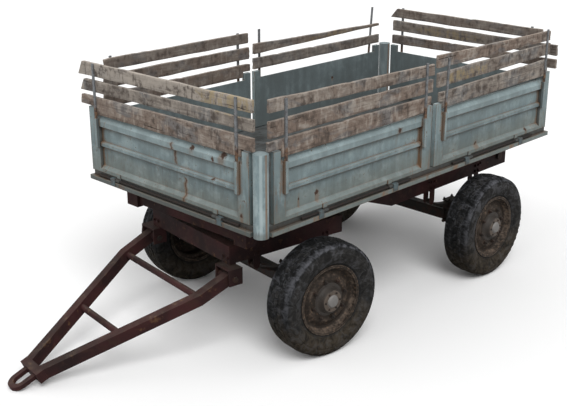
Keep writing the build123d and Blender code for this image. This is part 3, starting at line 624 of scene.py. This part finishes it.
def rubber(name, wheel):
    """Dusty rubber: dark in the grooves, greyer on block tops and the sidewall, with a painted highlight on
    the shoulders and the upper sidewall.
    """
    f = Finish(name)
    radius = f.from_axis(wheel)
    patches = f.noise(9, 4)
    grit = f.noise(160, 3)
    mottled = f.noise(26, 5, 0.65)
    scuffs = f.noise(13, 6, 0.7, distortion=0.8)
    f.base = f.mix(radius.fall(0.440, 0.500) * (0.25 + patches * 0.8), "rubber", "rubber_dusty")
    f.lay(radius.rise(0.490, 0.500) * radius.fall(0.5085, 0.5115) * 0.8, "rubber_groove")
    top = radius.rise(0.5095, 0.5125) * (patches * 0.6 + mottled * 0.6).rise(0.50, 0.75)
    f.lay(top * 0.55, "rubber_dusty")
    # Painted light: the tyre is paler towards its top.
    lit = 0.25 + f.z.rise(0.30, 0.95) * 0.75
    shoulder = radius.rise(0.476, 0.486) * radius.fall(0.502, 0.510) * lit
    f.lay(shoulder * (patches * 0.5 + mottled * 0.5).rise(0.36, 0.60) * 0.80, "rubber_pale")
    wall = radius.fall(0.470, 0.480)
    f.lay(wall * lit * (mottled * 0.4 + patches * 0.6).rise(0.48, 0.66) * 0.45, "rubber_pale")
    earth = (f.z.fall(0.02, 0.75) * 0.45 + patches * 0.4 + mottled * 0.3).rise(0.46, 0.78)
    f.lay(earth * 0.75, "rubber_earth")
    f.lay((mottled * 0.5 + patches * 0.5).fall(0.36, 0.48) * 0.65, "rubber")
    f.lay(scuffs.rise(0.50, 0.60) * (0.12 + lit * 0.22), "rubber_pale")
    f.lay(scuffs.fall(0.40, 0.50) * 0.60, "rubber_groove")
    f.lay(radius.fall(0.322, 0.350) * 0.7, "rubber")
    f.lay(grit.rise(0.58, 0.72) * 0.25, "rubber")
    rings = abs(radius - 0.352).fall(0.001, 0.005) + abs(radius - 0.428).fall(0.001, 0.005)
    height = grit * 0.5 + patches * 0.5 + mottled * 0.4 + rings * 0.8
    return f.show(0.78 + patches * 0.15, height=height, depth=0.0018, gloss=0.12)


def rim_paint(name, wheel):
    """Dark rusty rim, worn paler at its lips and greasy in patches, with a painted highlight on its barrel
    and painted shade in its creases and in a ring round the hub.
    """
    f = Finish(name)
    radius = f.from_axis(wheel)
    patches = f.noise(13, 5, 0.6)
    fine = f.noise(46, 4)
    grit = f.noise(150, 3)
    f.base = f.mix((patches * 0.7 + fine * 0.3).rise(0.40, 0.62), "grease", "rim")
    f.lay((patches * 0.5 + fine * 0.5).rise(0.54, 0.66) * 0.6, "rim_worn")
    f.lay((f.edges(0.008) * 1.5).rise(0.12, 0.6) * 0.55, "rim_worn")
    # Painted highlight: the barrel is paler.
    barrel = radius.rise(0.264, 0.276) * (patches * 0.6 + fine * 0.4).rise(0.42, 0.62)
    f.lay(barrel * 0.60, "rim_worn")
    f.lay((patches * 0.4 + fine * 0.6).fall(0.38, 0.48) * 0.7, "grease")
    # Painted shade in the rim's creases, and a painted shadow ring round the hub.
    crease_shade = abs(radius - 0.262).fall(0.004, 0.016) + abs(radius - 0.306).fall(0.002, 0.007)
    crease_shade = crease_shade + abs(radius - 0.158).fall(0.008, 0.022)
    f.lay(crease_shade.clamped() * 0.80, "grease")
    f.lay(fine.rise(0.60, 0.70) * 0.35, "rust")
    return f.show(0.62 + patches * 0.2, 0.05, grit * 0.5 + patches + fine * 0.5, 0.002, gloss=0.2)


def hub_steel(name, wheel):
    """Dark greasy hub with a grey cap, and painted shade on its sloping side round the face."""
    f = Finish(name)
    radius = f.from_axis(wheel)
    patches = f.noise(22, 5, 0.6)
    f.base = f.mix(patches.rise(0.42, 0.62), "grease", "rim")
    f.lay((f.edges(0.006) * 1.5).rise(0.12, 0.6) * 0.5, "rim_worn")
    # Painted shade on the hub's sloping side, round its face.
    f.lay(radius.rise(0.098, 0.101) * 0.75, "grease")
    f.lay(radius.fall(0.092, 0.097) * (0.25 + patches * 0.9) * 0.6, "rim_worn")
    f.lay(radius.fall(0.056, 0.060) * (0.60 + patches * 0.5), "cap")
    return f.show(0.5 + patches * 0.3, 0.15, patches + f.noise(150, 2) * 0.4, 0.0016)


# Meshes

def make_piece(bm, name, body, finish, replaced=(), sharp=35):
    """Turn a bmesh into a piece that rides on a body."""
    for face in bm.faces:
        face.smooth = True
    limit = math.radians(sharp)
    for edge in bm.edges:
        if len(edge.link_faces) != 2 or edge.calc_face_angle(0) > limit:
            edge.smooth = False
    mesh = bpy.data.meshes.new(name)
    bm.to_mesh(mesh)
    bm.free()
    mesh.materials.append(finish)
    piece = bpy.data.objects.new(name, mesh)
    bpy.context.scene.collection.objects.link(piece)
    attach(piece, body)
    if replaced:
        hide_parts(*replaced)
    return piece


def facing(place, normal):
    """A matrix that puts a shape at a place with its Z along a normal."""
    turn = Vector(normal).to_track_quat("Z", "Y").to_matrix().to_4x4()
    return Matrix.Translation(place) @ turn


def bevel(bm, edges, width, segments=2):
    """Round some of a mesh's edges."""
    bmesh.ops.bevel(bm, geom=list(edges), offset=width, segments=segments, affect="EDGES",
                    profile=0.5, material=-1)


def add_prism(bm, matrix, sides_round, radius, low, high, edge=0.0):
    """A prism along the matrix's Z, from low to high."""
    middle = matrix @ Matrix.Translation((0, 0, (low + high) / 2))
    made = bmesh.ops.create_cone(bm, cap_ends=True, segments=sides_round, radius1=radius, radius2=radius,
                                 depth=high - low, matrix=middle)
    if edge:
        near = (link for vert in made["verts"] for link in vert.link_edges)
        bevel(bm, dict.fromkeys(link for link in near if link.calc_face_angle(0) > 0.9), edge)


def add_bolt(bm, place, normal, across=0.024, washer=0.018):
    """A hexagon head on a washer."""
    matrix = facing(place, normal)
    add_prism(bm, matrix, 16, washer, -0.0005, 0.003)
    add_prism(bm, matrix, 6, across / math.sqrt(3), 0.003, 0.003 + across * 0.6, edge=0.0015)


def wheel_facts():
    """Centre, outward axis and body of each wheel."""
    facts = {}
    for name in wheels:
        joint = joints[name + "_roll"]
        outward = Vector(joint["axis"]) * (-1 if name.endswith("right") else 1)
        facts[name] = {"centre": Vector(joint["pos_m"]), "axis": outward, "body": name + "_wheel"}
    return facts


def wheel_matrix(wheel):
    """Local Z is the wheel's outward axis."""
    return facing(wheel["centre"], wheel["axis"])


# Rim outline all the way round its section, and the hub's from its cap inward:
# radius, distance from the middle plane
rim_outline = (
    (0.3172, 0.1218), (0.3180, 0.1190), (0.3180, 0.1132), (0.3140, 0.1112), (0.2985, 0.1098),
    (0.2975, 0.0740), (0.2680, 0.0560), (0.2680, -0.0560), (0.2975, -0.0740), (0.2985, -0.1098),
    (0.3140, -0.1112), (0.3180, -0.1132), (0.3180, -0.1190), (0.3172, -0.1218), (0.2900, -0.1218),
    (0.2890, -0.0700), (0.2595, -0.0520), (0.2595, 0.0280), (0.2100, 0.0640), (0.1900, 0.0740),
    (0.1508, 0.0740), (0.1508, 0.0880), (0.1900, 0.0880), (0.2020, 0.0868), (0.2100, 0.0830),
    (0.2260, 0.0700), (0.2440, 0.0585), (0.2540, 0.0548), (0.2600, 0.0552), (0.2660, 0.0610),
    (0.2830, 0.0800), (0.2900, 0.0960), (0.2932, 0.1180), (0.2990, 0.1180), (0.3070, 0.1196),
    (0.3120, 0.1215),
)
hub_outline = (
    (0.0001, 0.1600), (0.0455, 0.1600), (0.0475, 0.1592), (0.0555, 0.1452), (0.0560, 0.1442),
    (0.0600, 0.1440), (0.0920, 0.1440), (0.0965, 0.1430), (0.0990, 0.1400), (0.1050, 0.1200),
    (0.1200, 0.0980), (0.1275, 0.0900), (0.1330, 0.0895), (0.1480, 0.0895), (0.1500, 0.0880),
    (0.1500, -0.0990), (0.1490, -0.1000), (0.0345, -0.1000), (0.0345, 0.1240), (0.0001, 0.1240),
)


def spun(outline, steps):
    """A closed section turned about Z."""
    bm = bmesh.new()
    ring = [bm.verts.new((radius, 0, out)) for radius, out in outline]
    edges = [bm.edges.new(pair) for pair in zip(ring, ring[1:] + ring[:1])]
    bmesh.ops.spin(bm, geom=ring + edges, cent=(0, 0, 0), axis=(0, 0, 1), dvec=(0, 0, 0),
                   angle=2 * math.pi, steps=steps, use_merge=True)
    bmesh.ops.remove_doubles(bm, verts=bm.verts, dist=2e-5)
    bmesh.ops.recalc_face_normals(bm, faces=bm.faces)
    return bm


def make_rim_and_hub(name, wheel):
    """A round rim and hub in place of the flat-sided ones."""
    for outline, steps, node, slot, paint in (
        (rim_outline, 88, name + "_rim", "rim_paint", rim_paint),
        (hub_outline, 56, name + "_hub", "hub_steel", hub_steel),
    ):
        bm = spun(outline, steps)
        bmesh.ops.transform(bm, matrix=wheel_matrix(wheel), verts=bm.verts)
        finish = paint(name + "_" + slot, wheel)
        make_piece(bm, node + "_round", wheel["body"], finish, (node,), sharp=42)


# Half outline of the casing: radius, distance from the middle plane
casing_half = (
    (0.2985, 0.1102), (0.3205, 0.1104), (0.3300, 0.1170), (0.3360, 0.1245), (0.3420, 0.1262),
    (0.3480, 0.1258), (0.3600, 0.1340), (0.3850, 0.1440), (0.4150, 0.1492), (0.4380, 0.1492),
    (0.4400, 0.1478), (0.4450, 0.1478), (0.4470, 0.1488), (0.4640, 0.1452), (0.4800, 0.1372),
    (0.4930, 0.1260), (0.5020, 0.1110), (0.5060, 0.0900), (0.5065, 0.0500),
)

# Tread: radius over the blocks, how far the outer ribs lie below it, and how far their outer edge slopes
crown = 0.515
rib_drop = 0.0035
rib_slope = 0.0080
outer_ribs = 0.08

# Blocks: their share of a pitch, how much wider they are at the foot, and their foot under the groove
block_share = 0.80
block_flare = 1.10
block_foot = 0.004

# Tread ribs: middle, width, skew of its blocks, shift round the tyre in pitches
tread_ribs = (
    (-0.100, 0.048, 0.10, 0.00),
    (-0.049, 0.038, 0.32, 0.50),
    (0.000, 0.042, -0.32, 0.00),
    (0.049, 0.038, 0.32, 0.50),
    (0.100, 0.048, -0.10, 0.00),
)

# A shoulder lug's lower and upper end: share of a pitch, and radius and distance out of both its faces
lug_ends = (
    (0.34, (0.4720, 0.1476), (0.4680, 0.1330)),
    (0.40, (0.5035, 0.1235), (0.4900, 0.1100)),
)


def add_block(bm, angle, shape, worn, lowest=0.0):
    """A cube with its corners moved by a function, turned about Z, its edges above a radius bevelled."""
    corners = bmesh.ops.create_cube(bm, size=1.0)["verts"]
    for vert in corners:
        vert.co = shape(vert.co)
    links = (link for vert in corners for link in vert.link_edges)
    sharp = dict.fromkeys(link for link in links if max(end.co.x for end in link.verts) > lowest)
    bmesh.ops.rotate(bm, verts=corners, cent=(0, 0, 0), matrix=Matrix.Rotation(angle, 3, "Z"))
    bevel(bm, sharp, worn, 1)


def make_tyre(name, wheel, finish):
    """A casing spun about the axle, with tread blocks and shoulder lugs."""
    size = sizes()
    bm = spun([*casing_half, *((radius, -out) for radius, out in reversed(casing_half))], 96)
    pitch = 2 * math.pi / size.tread_pitch
    foot = crown - size.tread_depth - block_foot
    for middle, width, skew, shift in tread_ribs:
        outer = abs(middle) > outer_ribs

        def block(at):
            flare = 1.0 if at.x > 0 else block_flare
            across = at.z * width * flare
            along = at.y * crown * pitch * block_share * flare + at.z * skew * width
            radius = foot
            if at.x > 0:
                radius = crown - rib_drop * outer - rib_slope * (outer and across * middle > 0)
            return Vector((radius, along, middle + across))

        for step in range(size.tread_pitch):
            add_block(bm, (step + shift) * pitch, block, size.block_edge, foot + 0.004)
    # Shoulder lugs wrap from the tread to the sidewall
    for side in (1, -1):

        def lug(at):
            share, outside, inside = lug_ends[at.z > 0]
            radius, out = outside if at.x > 0 else inside
            return Vector((radius, at.y * crown * pitch * share, side * out))

        for step in range(size.tread_pitch):
            add_block(bm, (step + 0.5) * pitch, lug, 0.002)
    bmesh.ops.recalc_face_normals(bm, faces=bm.faces)
    bmesh.ops.transform(bm, matrix=wheel_matrix(wheel), verts=bm.verts)
    make_piece(bm, name + "_treaded_tyre", wheel["body"], finish, (name + "_tyre",), sharp=38)


def axle_places():
    """Matrix and body of both axles, on the ground under them, and the distance out to their springs."""
    turn = Vector(joints["front_left_roll"]["axis"])
    steered = Matrix.Rotation(math.atan2(-turn.x, turn.y), 4, "Z")
    kingpin = Vector(joints["steering"]["pos_m"])
    rear = Vector(joints["rear_left_roll"]["pos_m"])
    return (
        (Matrix.Translation((kingpin.x, 0, 0)) @ steered, "bogie", 0.570),
        (Matrix.Translation((rear.x, 0, 0)), "chassis", 0.610),
    )


def add_box(bm, matrix, low, high):
    """A box between two corners in the matrix's own axes."""
    middle = [(a + b) / 2 for a, b in zip(low, high)]
    size = [b - a for a, b in zip(low, high)]
    matrix = matrix @ Matrix.Translation(middle) @ Matrix.Diagonal((*size, 1))
    bmesh.ops.create_cube(bm, size=1.0, matrix=matrix)


def make_spring_clamps(finish):
    """Plates and threaded rods that clamp each spring to its axle."""
    rod = sizes().clamp_rod
    plate_half = (0.078, 0.046)
    plate_spans = ((0.679, 0.690), (0.448, 0.4605))
    rod_places = ((-0.066, -0.034), (-0.066, 0.034), (0.066, -0.034), (0.066, 0.034))
    rod_span = (0.436, 0.712)
    nut = 0.0145
    nut_spans = ((0.690, 0.703), (0.437, 0.448))
    for place, body, row in axle_places():
        bm = bmesh.new()
        for middle in (row, -row):
            for low, high in plate_spans:
                add_box(bm, place, (-plate_half[0], middle - plate_half[1], low),
                        (plate_half[0], middle + plate_half[1], high))
            for along, across in rod_places:
                here = place @ Matrix.Translation((along, middle + across, 0))
                add_prism(bm, here, 10, rod, *rod_span)
                for span in nut_spans:
                    add_prism(bm, here, 6, nut, *span, edge=0.0012)
        make_piece(bm, body + "_spring_clamps", body, finish)


# Bolts on a main beam: joint they are counted from, rows along X, heights, places in a row, width
spring_half = 0.386
beam_bolts = (
    ("rear_left_roll", (-spring_half, spring_half), (0.915, 0.975), (-0.028, 0.028), 0.024),
    ("rear_left_roll", (-0.45, 0.45), (0.985, 1.065), (0,), 0.020),
    ("steering", (-0.38, 0, 0.38), (1.150,), (-0.024, 0.024), 0.020),
)

# Bolts on one side of the steering frame and on its fork block
frame_bolts = [(row + offset, 0.615, 0.880)
               for row in (-spring_half, spring_half) for offset in (-0.024, 0.024)]
fork_bolts = [(0.675, 0.525, 0.900), (0.675, 0.590, 0.900)]


def make_bolts(finish):
    """Bolt heads on the main beams, the steering frame and the fork blocks."""
    beam_face = 0.650
    beams = bmesh.new()
    steering = bmesh.new()
    place, body, _ = axle_places()[0]
    for side in (1, -1):
        for joint, rows, heights, offsets, across in beam_bolts:
            middle = Vector(joints[joint]["pos_m"]).x
            for row, height, offset in itertools.product(rows, heights, offsets):
                add_bolt(beams, (middle + row + offset, side * beam_face, height), (0, side, 0), across)
        for bolts, outward in ((frame_bolts, (0, side, 0)), (fork_bolts, (1, 0, 0))):
            normal = place.to_3x3() @ Vector(outward)
            for along, out, height in bolts:
                add_bolt(steering, place @ Vector((along, side * out, height)), normal, 0.022)
    make_piece(beams, "beam_bolts", "chassis", finish)
    make_piece(steering, "frame_bolts", body, finish)


def make_wheel_nuts(name, wheel, finish):
    """Wheel nuts on their studs, and the small bolts of the hub's cap."""
    size = sizes()
    bm = bmesh.new()
    place = wheel_matrix(wheel)
    disc = 0.0885
    hub_face = 0.1440
    cap_bolts = 6
    cap_circle = 0.078

    def on_circle(angle, circle, out):
        """A place on a circle about the wheel's axis."""
        return place @ Matrix.Translation((math.cos(angle) * circle, math.sin(angle) * circle, out))

    for step in range(size.nut_count):
        angle = 2 * math.pi * (step + 0.3) / size.nut_count
        here = on_circle(angle, size.nut_circle, disc) @ Matrix.Rotation(angle, 4, "Z")
        add_prism(bm, here, 18, size.nut_width * 0.72, -0.001, 0.004)
        add_prism(bm, here, 6, size.nut_width / math.sqrt(3), 0.004, 0.022, edge=0.002)
        add_prism(bm, here, 12, 0.0085, 0.020, 0.034, edge=0.0012)
    for step in range(cap_bolts):
        here = on_circle(2 * math.pi * step / cap_bolts, cap_circle, hub_face - 0.0005)
        add_prism(bm, here, 6, 0.0095, 0.0, 0.008, edge=0.001)
    make_piece(bm, name + "_nuts", wheel["body"], finish)


def islands(bm):
    """The separate boards of a mesh."""
    left = set(bm.verts)
    groups = []
    while left:
        group = [left.pop()]
        for vert in group:
            joined = {edge.other_vert(vert) for edge in vert.link_edges} & left
            left -= joined
            group += joined
        groups.append(group)
    return groups


def cut_through(bm, place, normal):
    """Cut every face that a plane crosses."""
    geometry = [*bm.verts, *bm.edges, *bm.faces]
    bmesh.ops.bisect_plane(bm, geom=geometry, dist=1e-5, plane_co=place, plane_no=normal)


def make_planks(side, finishes):
    """Weathered planks from the plain ones: worn edges, wandering sides and broken ends."""
    size = sizes()
    node = side + "_planks"
    along = 1 if side in ("front", "tail") else 0
    row_step = 0.026
    end_reach = 0.04
    bm = bmesh.new()
    bm.from_mesh(nodes[node].data)
    bmesh.ops.remove_doubles(bm, verts=bm.verts, dist=1e-5)
    bmesh.ops.dissolve_limit(bm, angle_limit=math.radians(1), verts=bm.verts, edges=bm.edges)
    low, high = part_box(node)
    bevel(bm, [edge for edge in bm.edges if edge.calc_face_angle(0) > 0.5], size.board_edge)
    for axis, pitch in ((along, size.board_step), (2, row_step)):
        normal = Vector((0, 0, 0))
        normal[axis] = 1
        steps = int((high[axis] - low[axis]) / pitch)
        for step in range(1, steps):
            at = low.copy()
            at[axis] += step * (high[axis] - low[axis]) / steps
            cut_through(bm, at, normal)
    tones = bm.verts.layers.float.new("board_tone")
    random.seed(node)
    boards = sorted(islands(bm), key=lambda group: min(vert.co.z for vert in group))
    for board in boards:
        tone = random.uniform(0.25, 0.8)
        if board is boards[-1] and side in bleached:
            tone = bleached[side]
        seed = random.uniform(0, 50)
        start = min(vert.co[along] for vert in board)
        end = max(vert.co[along] for vert in board)
        heights = {}
        for vert in board:
            vert[tones] = tone
            key = round(vert.co[along] / size.board_step)
            heights.setdefault(key, []).append(vert.co.z)
        spans = {key: (min(found), max(found)) for key, found in heights.items()}
        for vert in board:
            here = vert.co[along]
            under, over = spans[round(here / size.board_step)]
            share = (vert.co.z - under) / max(over - under, 1e-4)
            upper = noise.noise(Vector((here * 3.1, seed, 5.0)))
            lower = noise.noise(Vector((here * 3.3, seed, 9.0)))
            bite = max(0.0, noise.noise(Vector((here * 11, seed, 14.0))) - 0.35)
            vert.co.z += size.board_wear * (share * (upper - 3.0 * bite) + (1 - share) * lower)
            near_end = min(here - start, end - here)
            if near_end < end_reach:
                ragged = abs(noise.noise(Vector((seed, vert.co.z * 34, here - near_end))))
                push = size.end_wear * ragged * (1 - near_end / end_reach)
                vert.co[along] += push if here - start < end - here else -push
    make_piece(bm, side + "_weathered_planks", nodes[node]["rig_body"], finishes[along], (node,))


def paint_nodes(finish, names):
    """Give CAD nodes a finish."""
    for name in names:
        materials = nodes[name].data.materials
        materials.clear()
        materials.append(finish)


class TRAILER_OT_bed(bpy.types.Operator):
    """Paint the bed, its sides, posts, rods and stakes"""

    bl_idname = "trailer.bed"
    bl_label = "Bed and sides"

    def execute(self, context):
        paint_nodes(bed_paint("bed_paint"), ["bed_rail"] + [side + "_panel" for side in sides])
        paint_nodes(deck_steel("deck_steel"), ["floor"])
        paint_nodes(clip_paint("clip_paint"), ["rod_clips"])
        paint_nodes(post_paint("post_paint"), ["corner_posts"])
        paint_nodes(dark_steel("rod_steel", 0.25), ["hinge_rods"])
        paint_nodes(stake_steel("stake_steel"), [side + "_stakes" for side in sides])
        return {"FINISHED"}


class TRAILER_OT_planks(bpy.types.Operator):
    """Make the weathered planks"""

    bl_idname = "trailer.planks"
    bl_label = "Planks"

    def execute(self, context):
        finishes = [plank_wood("plank_wood_lengthways", 0), plank_wood("plank_wood_crossways", 1)]
        for side in sides:
            make_planks(side, finishes)
        return {"FINISHED"}


class TRAILER_OT_chassis(bpy.types.Operator):
    """Paint the chassis, the bogie and the drawbar"""

    bl_idname = "trailer.chassis"
    bl_label = "Chassis and drawbar"

    def execute(self, context):
        paint_nodes(oxide_paint("oxide_paint"), [
            "chassis_frame", "floor_bearers", "steering_frame", "clevis_forks", "drawbar_arms",
            "drawbar_ties", "tow_eye", "front_spring_brackets", "rear_spring_brackets"])
        paint_nodes(dark_steel("axle_steel"), [
            "tail_tube", "upper_ring", "lower_ring", "kingpin", "clevis_pins", "front_axle", "rear_axle",
            "front_springs", "rear_springs"])
        make_spring_clamps(dark_steel("clamp_steel"))
        make_bolts(oxide_paint("bolt_paint"))
        return {"FINISHED"}


class TRAILER_OT_wheels(bpy.types.Operator):
    """Make the tyres and wheel nuts and finish the rims and hubs"""

    bl_idname = "trailer.wheels"
    bl_label = "Wheels"

    def execute(self, context):
        nut_finish = dark_steel("nut_steel")
        for name, wheel in wheel_facts().items():
            make_tyre(name, wheel, rubber(name + "_rubber", wheel))
            make_wheel_nuts(name, wheel, nut_finish)
            make_rim_and_hub(name, wheel)
        return {"FINISHED"}


def aimed(direction):
    """The turn that points a camera or a lamp along a direction."""
    return Vector(direction).to_track_quat("-Z", "Y").to_euler()


def sun(name, strength, direction, spread):
    """A soft sun lamp that shines along a direction."""
    lamp = bpy.data.lights.new(name, "SUN")
    lamp.energy = strength
    lamp.angle = math.radians(spread)
    holder = bpy.data.objects.new(name, lamp)
    holder.rotation_euler = aimed(direction)
    bpy.context.scene.collection.objects.link(holder)


class TRAILER_OT_stage(bpy.types.Operator):
    """Set up the camera, the light and the pale floor"""

    bl_idname = "trailer.stage"
    bl_label = "Stage"

    def execute(self, context):
        scene = context.scene
        stage = scene.trailer_stage
        camera = bpy.data.objects.new("camera", bpy.data.cameras.new("camera"))
        camera.data.lens = stage.lens
        camera.data.sensor_width = 36
        camera.data.shift_x = stage.shift_x
        camera.data.shift_y = stage.shift_y
        camera.location = stage.camera_place
        level = math.cos(stage.fall)
        ahead = (math.cos(stage.heading) * level, math.sin(stage.heading) * level, -math.sin(stage.fall))
        camera.rotation_euler = aimed(ahead)
        scene.collection.objects.link(camera)
        scene.camera = camera
        scene.view_settings.view_transform = "Standard"

        world = bpy.data.worlds.new("studio")
        world.use_nodes = True
        scene.world = world
        tree = world.node_tree
        backdrop = tree.nodes["Background"]
        path = tree.nodes.new("ShaderNodeLightPath")
        seen = tree.nodes.new("ShaderNodeMath")
        seen.operation = "MAXIMUM"
        tree.links.new(path.outputs["Is Camera Ray"], seen.inputs[0])
        tree.links.new(path.outputs["Is Glossy Ray"], seen.inputs[1])
        glow = tree.nodes.new("ShaderNodeMapRange")
        glow.inputs["To Min"].default_value = stage.sky
        tree.links.new(seen.outputs[0], glow.inputs["Value"])
        tree.links.new(glow.outputs[0], backdrop.inputs["Strength"])
        backdrop.inputs["Color"].default_value = (1, 1, 1, 1)

        sun("key", stage.key, (-0.47, -0.72, -1.0), 34)
        sun("fill", stage.fill, (-0.9, 0.35, -0.7), 60)

        bm = bmesh.new()
        bmesh.ops.create_grid(bm, x_segments=1, y_segments=1, size=stage.floor_half)
        mesh = bpy.data.meshes.new("floor_sheet")
        bm.to_mesh(mesh)
        bm.free()
        floor = bpy.data.objects.new("floor_sheet", mesh)
        floor.location = (0, 0, -0.001)
        scene.collection.objects.link(floor)
        pale = Finish("pale_floor")
        camera_ray = pale.node("ShaderNodeLightPath", out="Is Camera Ray")
        glossy_ray = pale.node("ShaderNodeLightPath", out="Is Glossy Ray")
        pale.base = pale.mix(camera_ray.larger(glossy_ray), stage.floor_bounce, stage.floor)
        mesh.materials.append(pale.show(0.9))
        return {"FINISHED"}


class TRAILER_PT_panel(bpy.types.Panel):
    """The trailer's steps in the sidebar"""

    bl_idname = "TRAILER_PT_panel"
    bl_label = "Trailer"
    bl_space_type = "VIEW_3D"
    bl_region_type = "UI"
    bl_category = "Trailer"

    def draw(self, context):
        for operator in steps:
            self.layout.operator(operator.bl_idname)


steps = (TRAILER_OT_stage, TRAILER_OT_bed, TRAILER_OT_planks, TRAILER_OT_chassis, TRAILER_OT_wheels)
groups = (
    ("trailer_sizes", TrailerSizes),
    ("trailer_colours", TrailerColours),
    ("trailer_stage", StageSettings),
)


def register():
    """Make the settings, the operators and the panel known."""
    for name, group in groups:
        bpy.utils.register_class(group)
        setattr(bpy.types.Scene, name, PointerProperty(type=group))
    for cls in (*steps, TRAILER_PT_panel):
        bpy.utils.register_class(cls)


def unregister():
    """Take them away again."""
    for cls in (TRAILER_PT_panel, *reversed(steps)):
        bpy.utils.unregister_class(cls)
    for name, group in reversed(groups):
        delattr(bpy.types.Scene, name)
        bpy.utils.unregister_class(group)


def main():
    """Build the trailer's looks in order."""
    register()
    bpy.ops.trailer.stage()
    bpy.ops.trailer.bed()
    bpy.ops.trailer.planks()
    bpy.ops.trailer.chassis()
    bpy.ops.trailer.wheels()


if __name__ == "__main__":
    main()
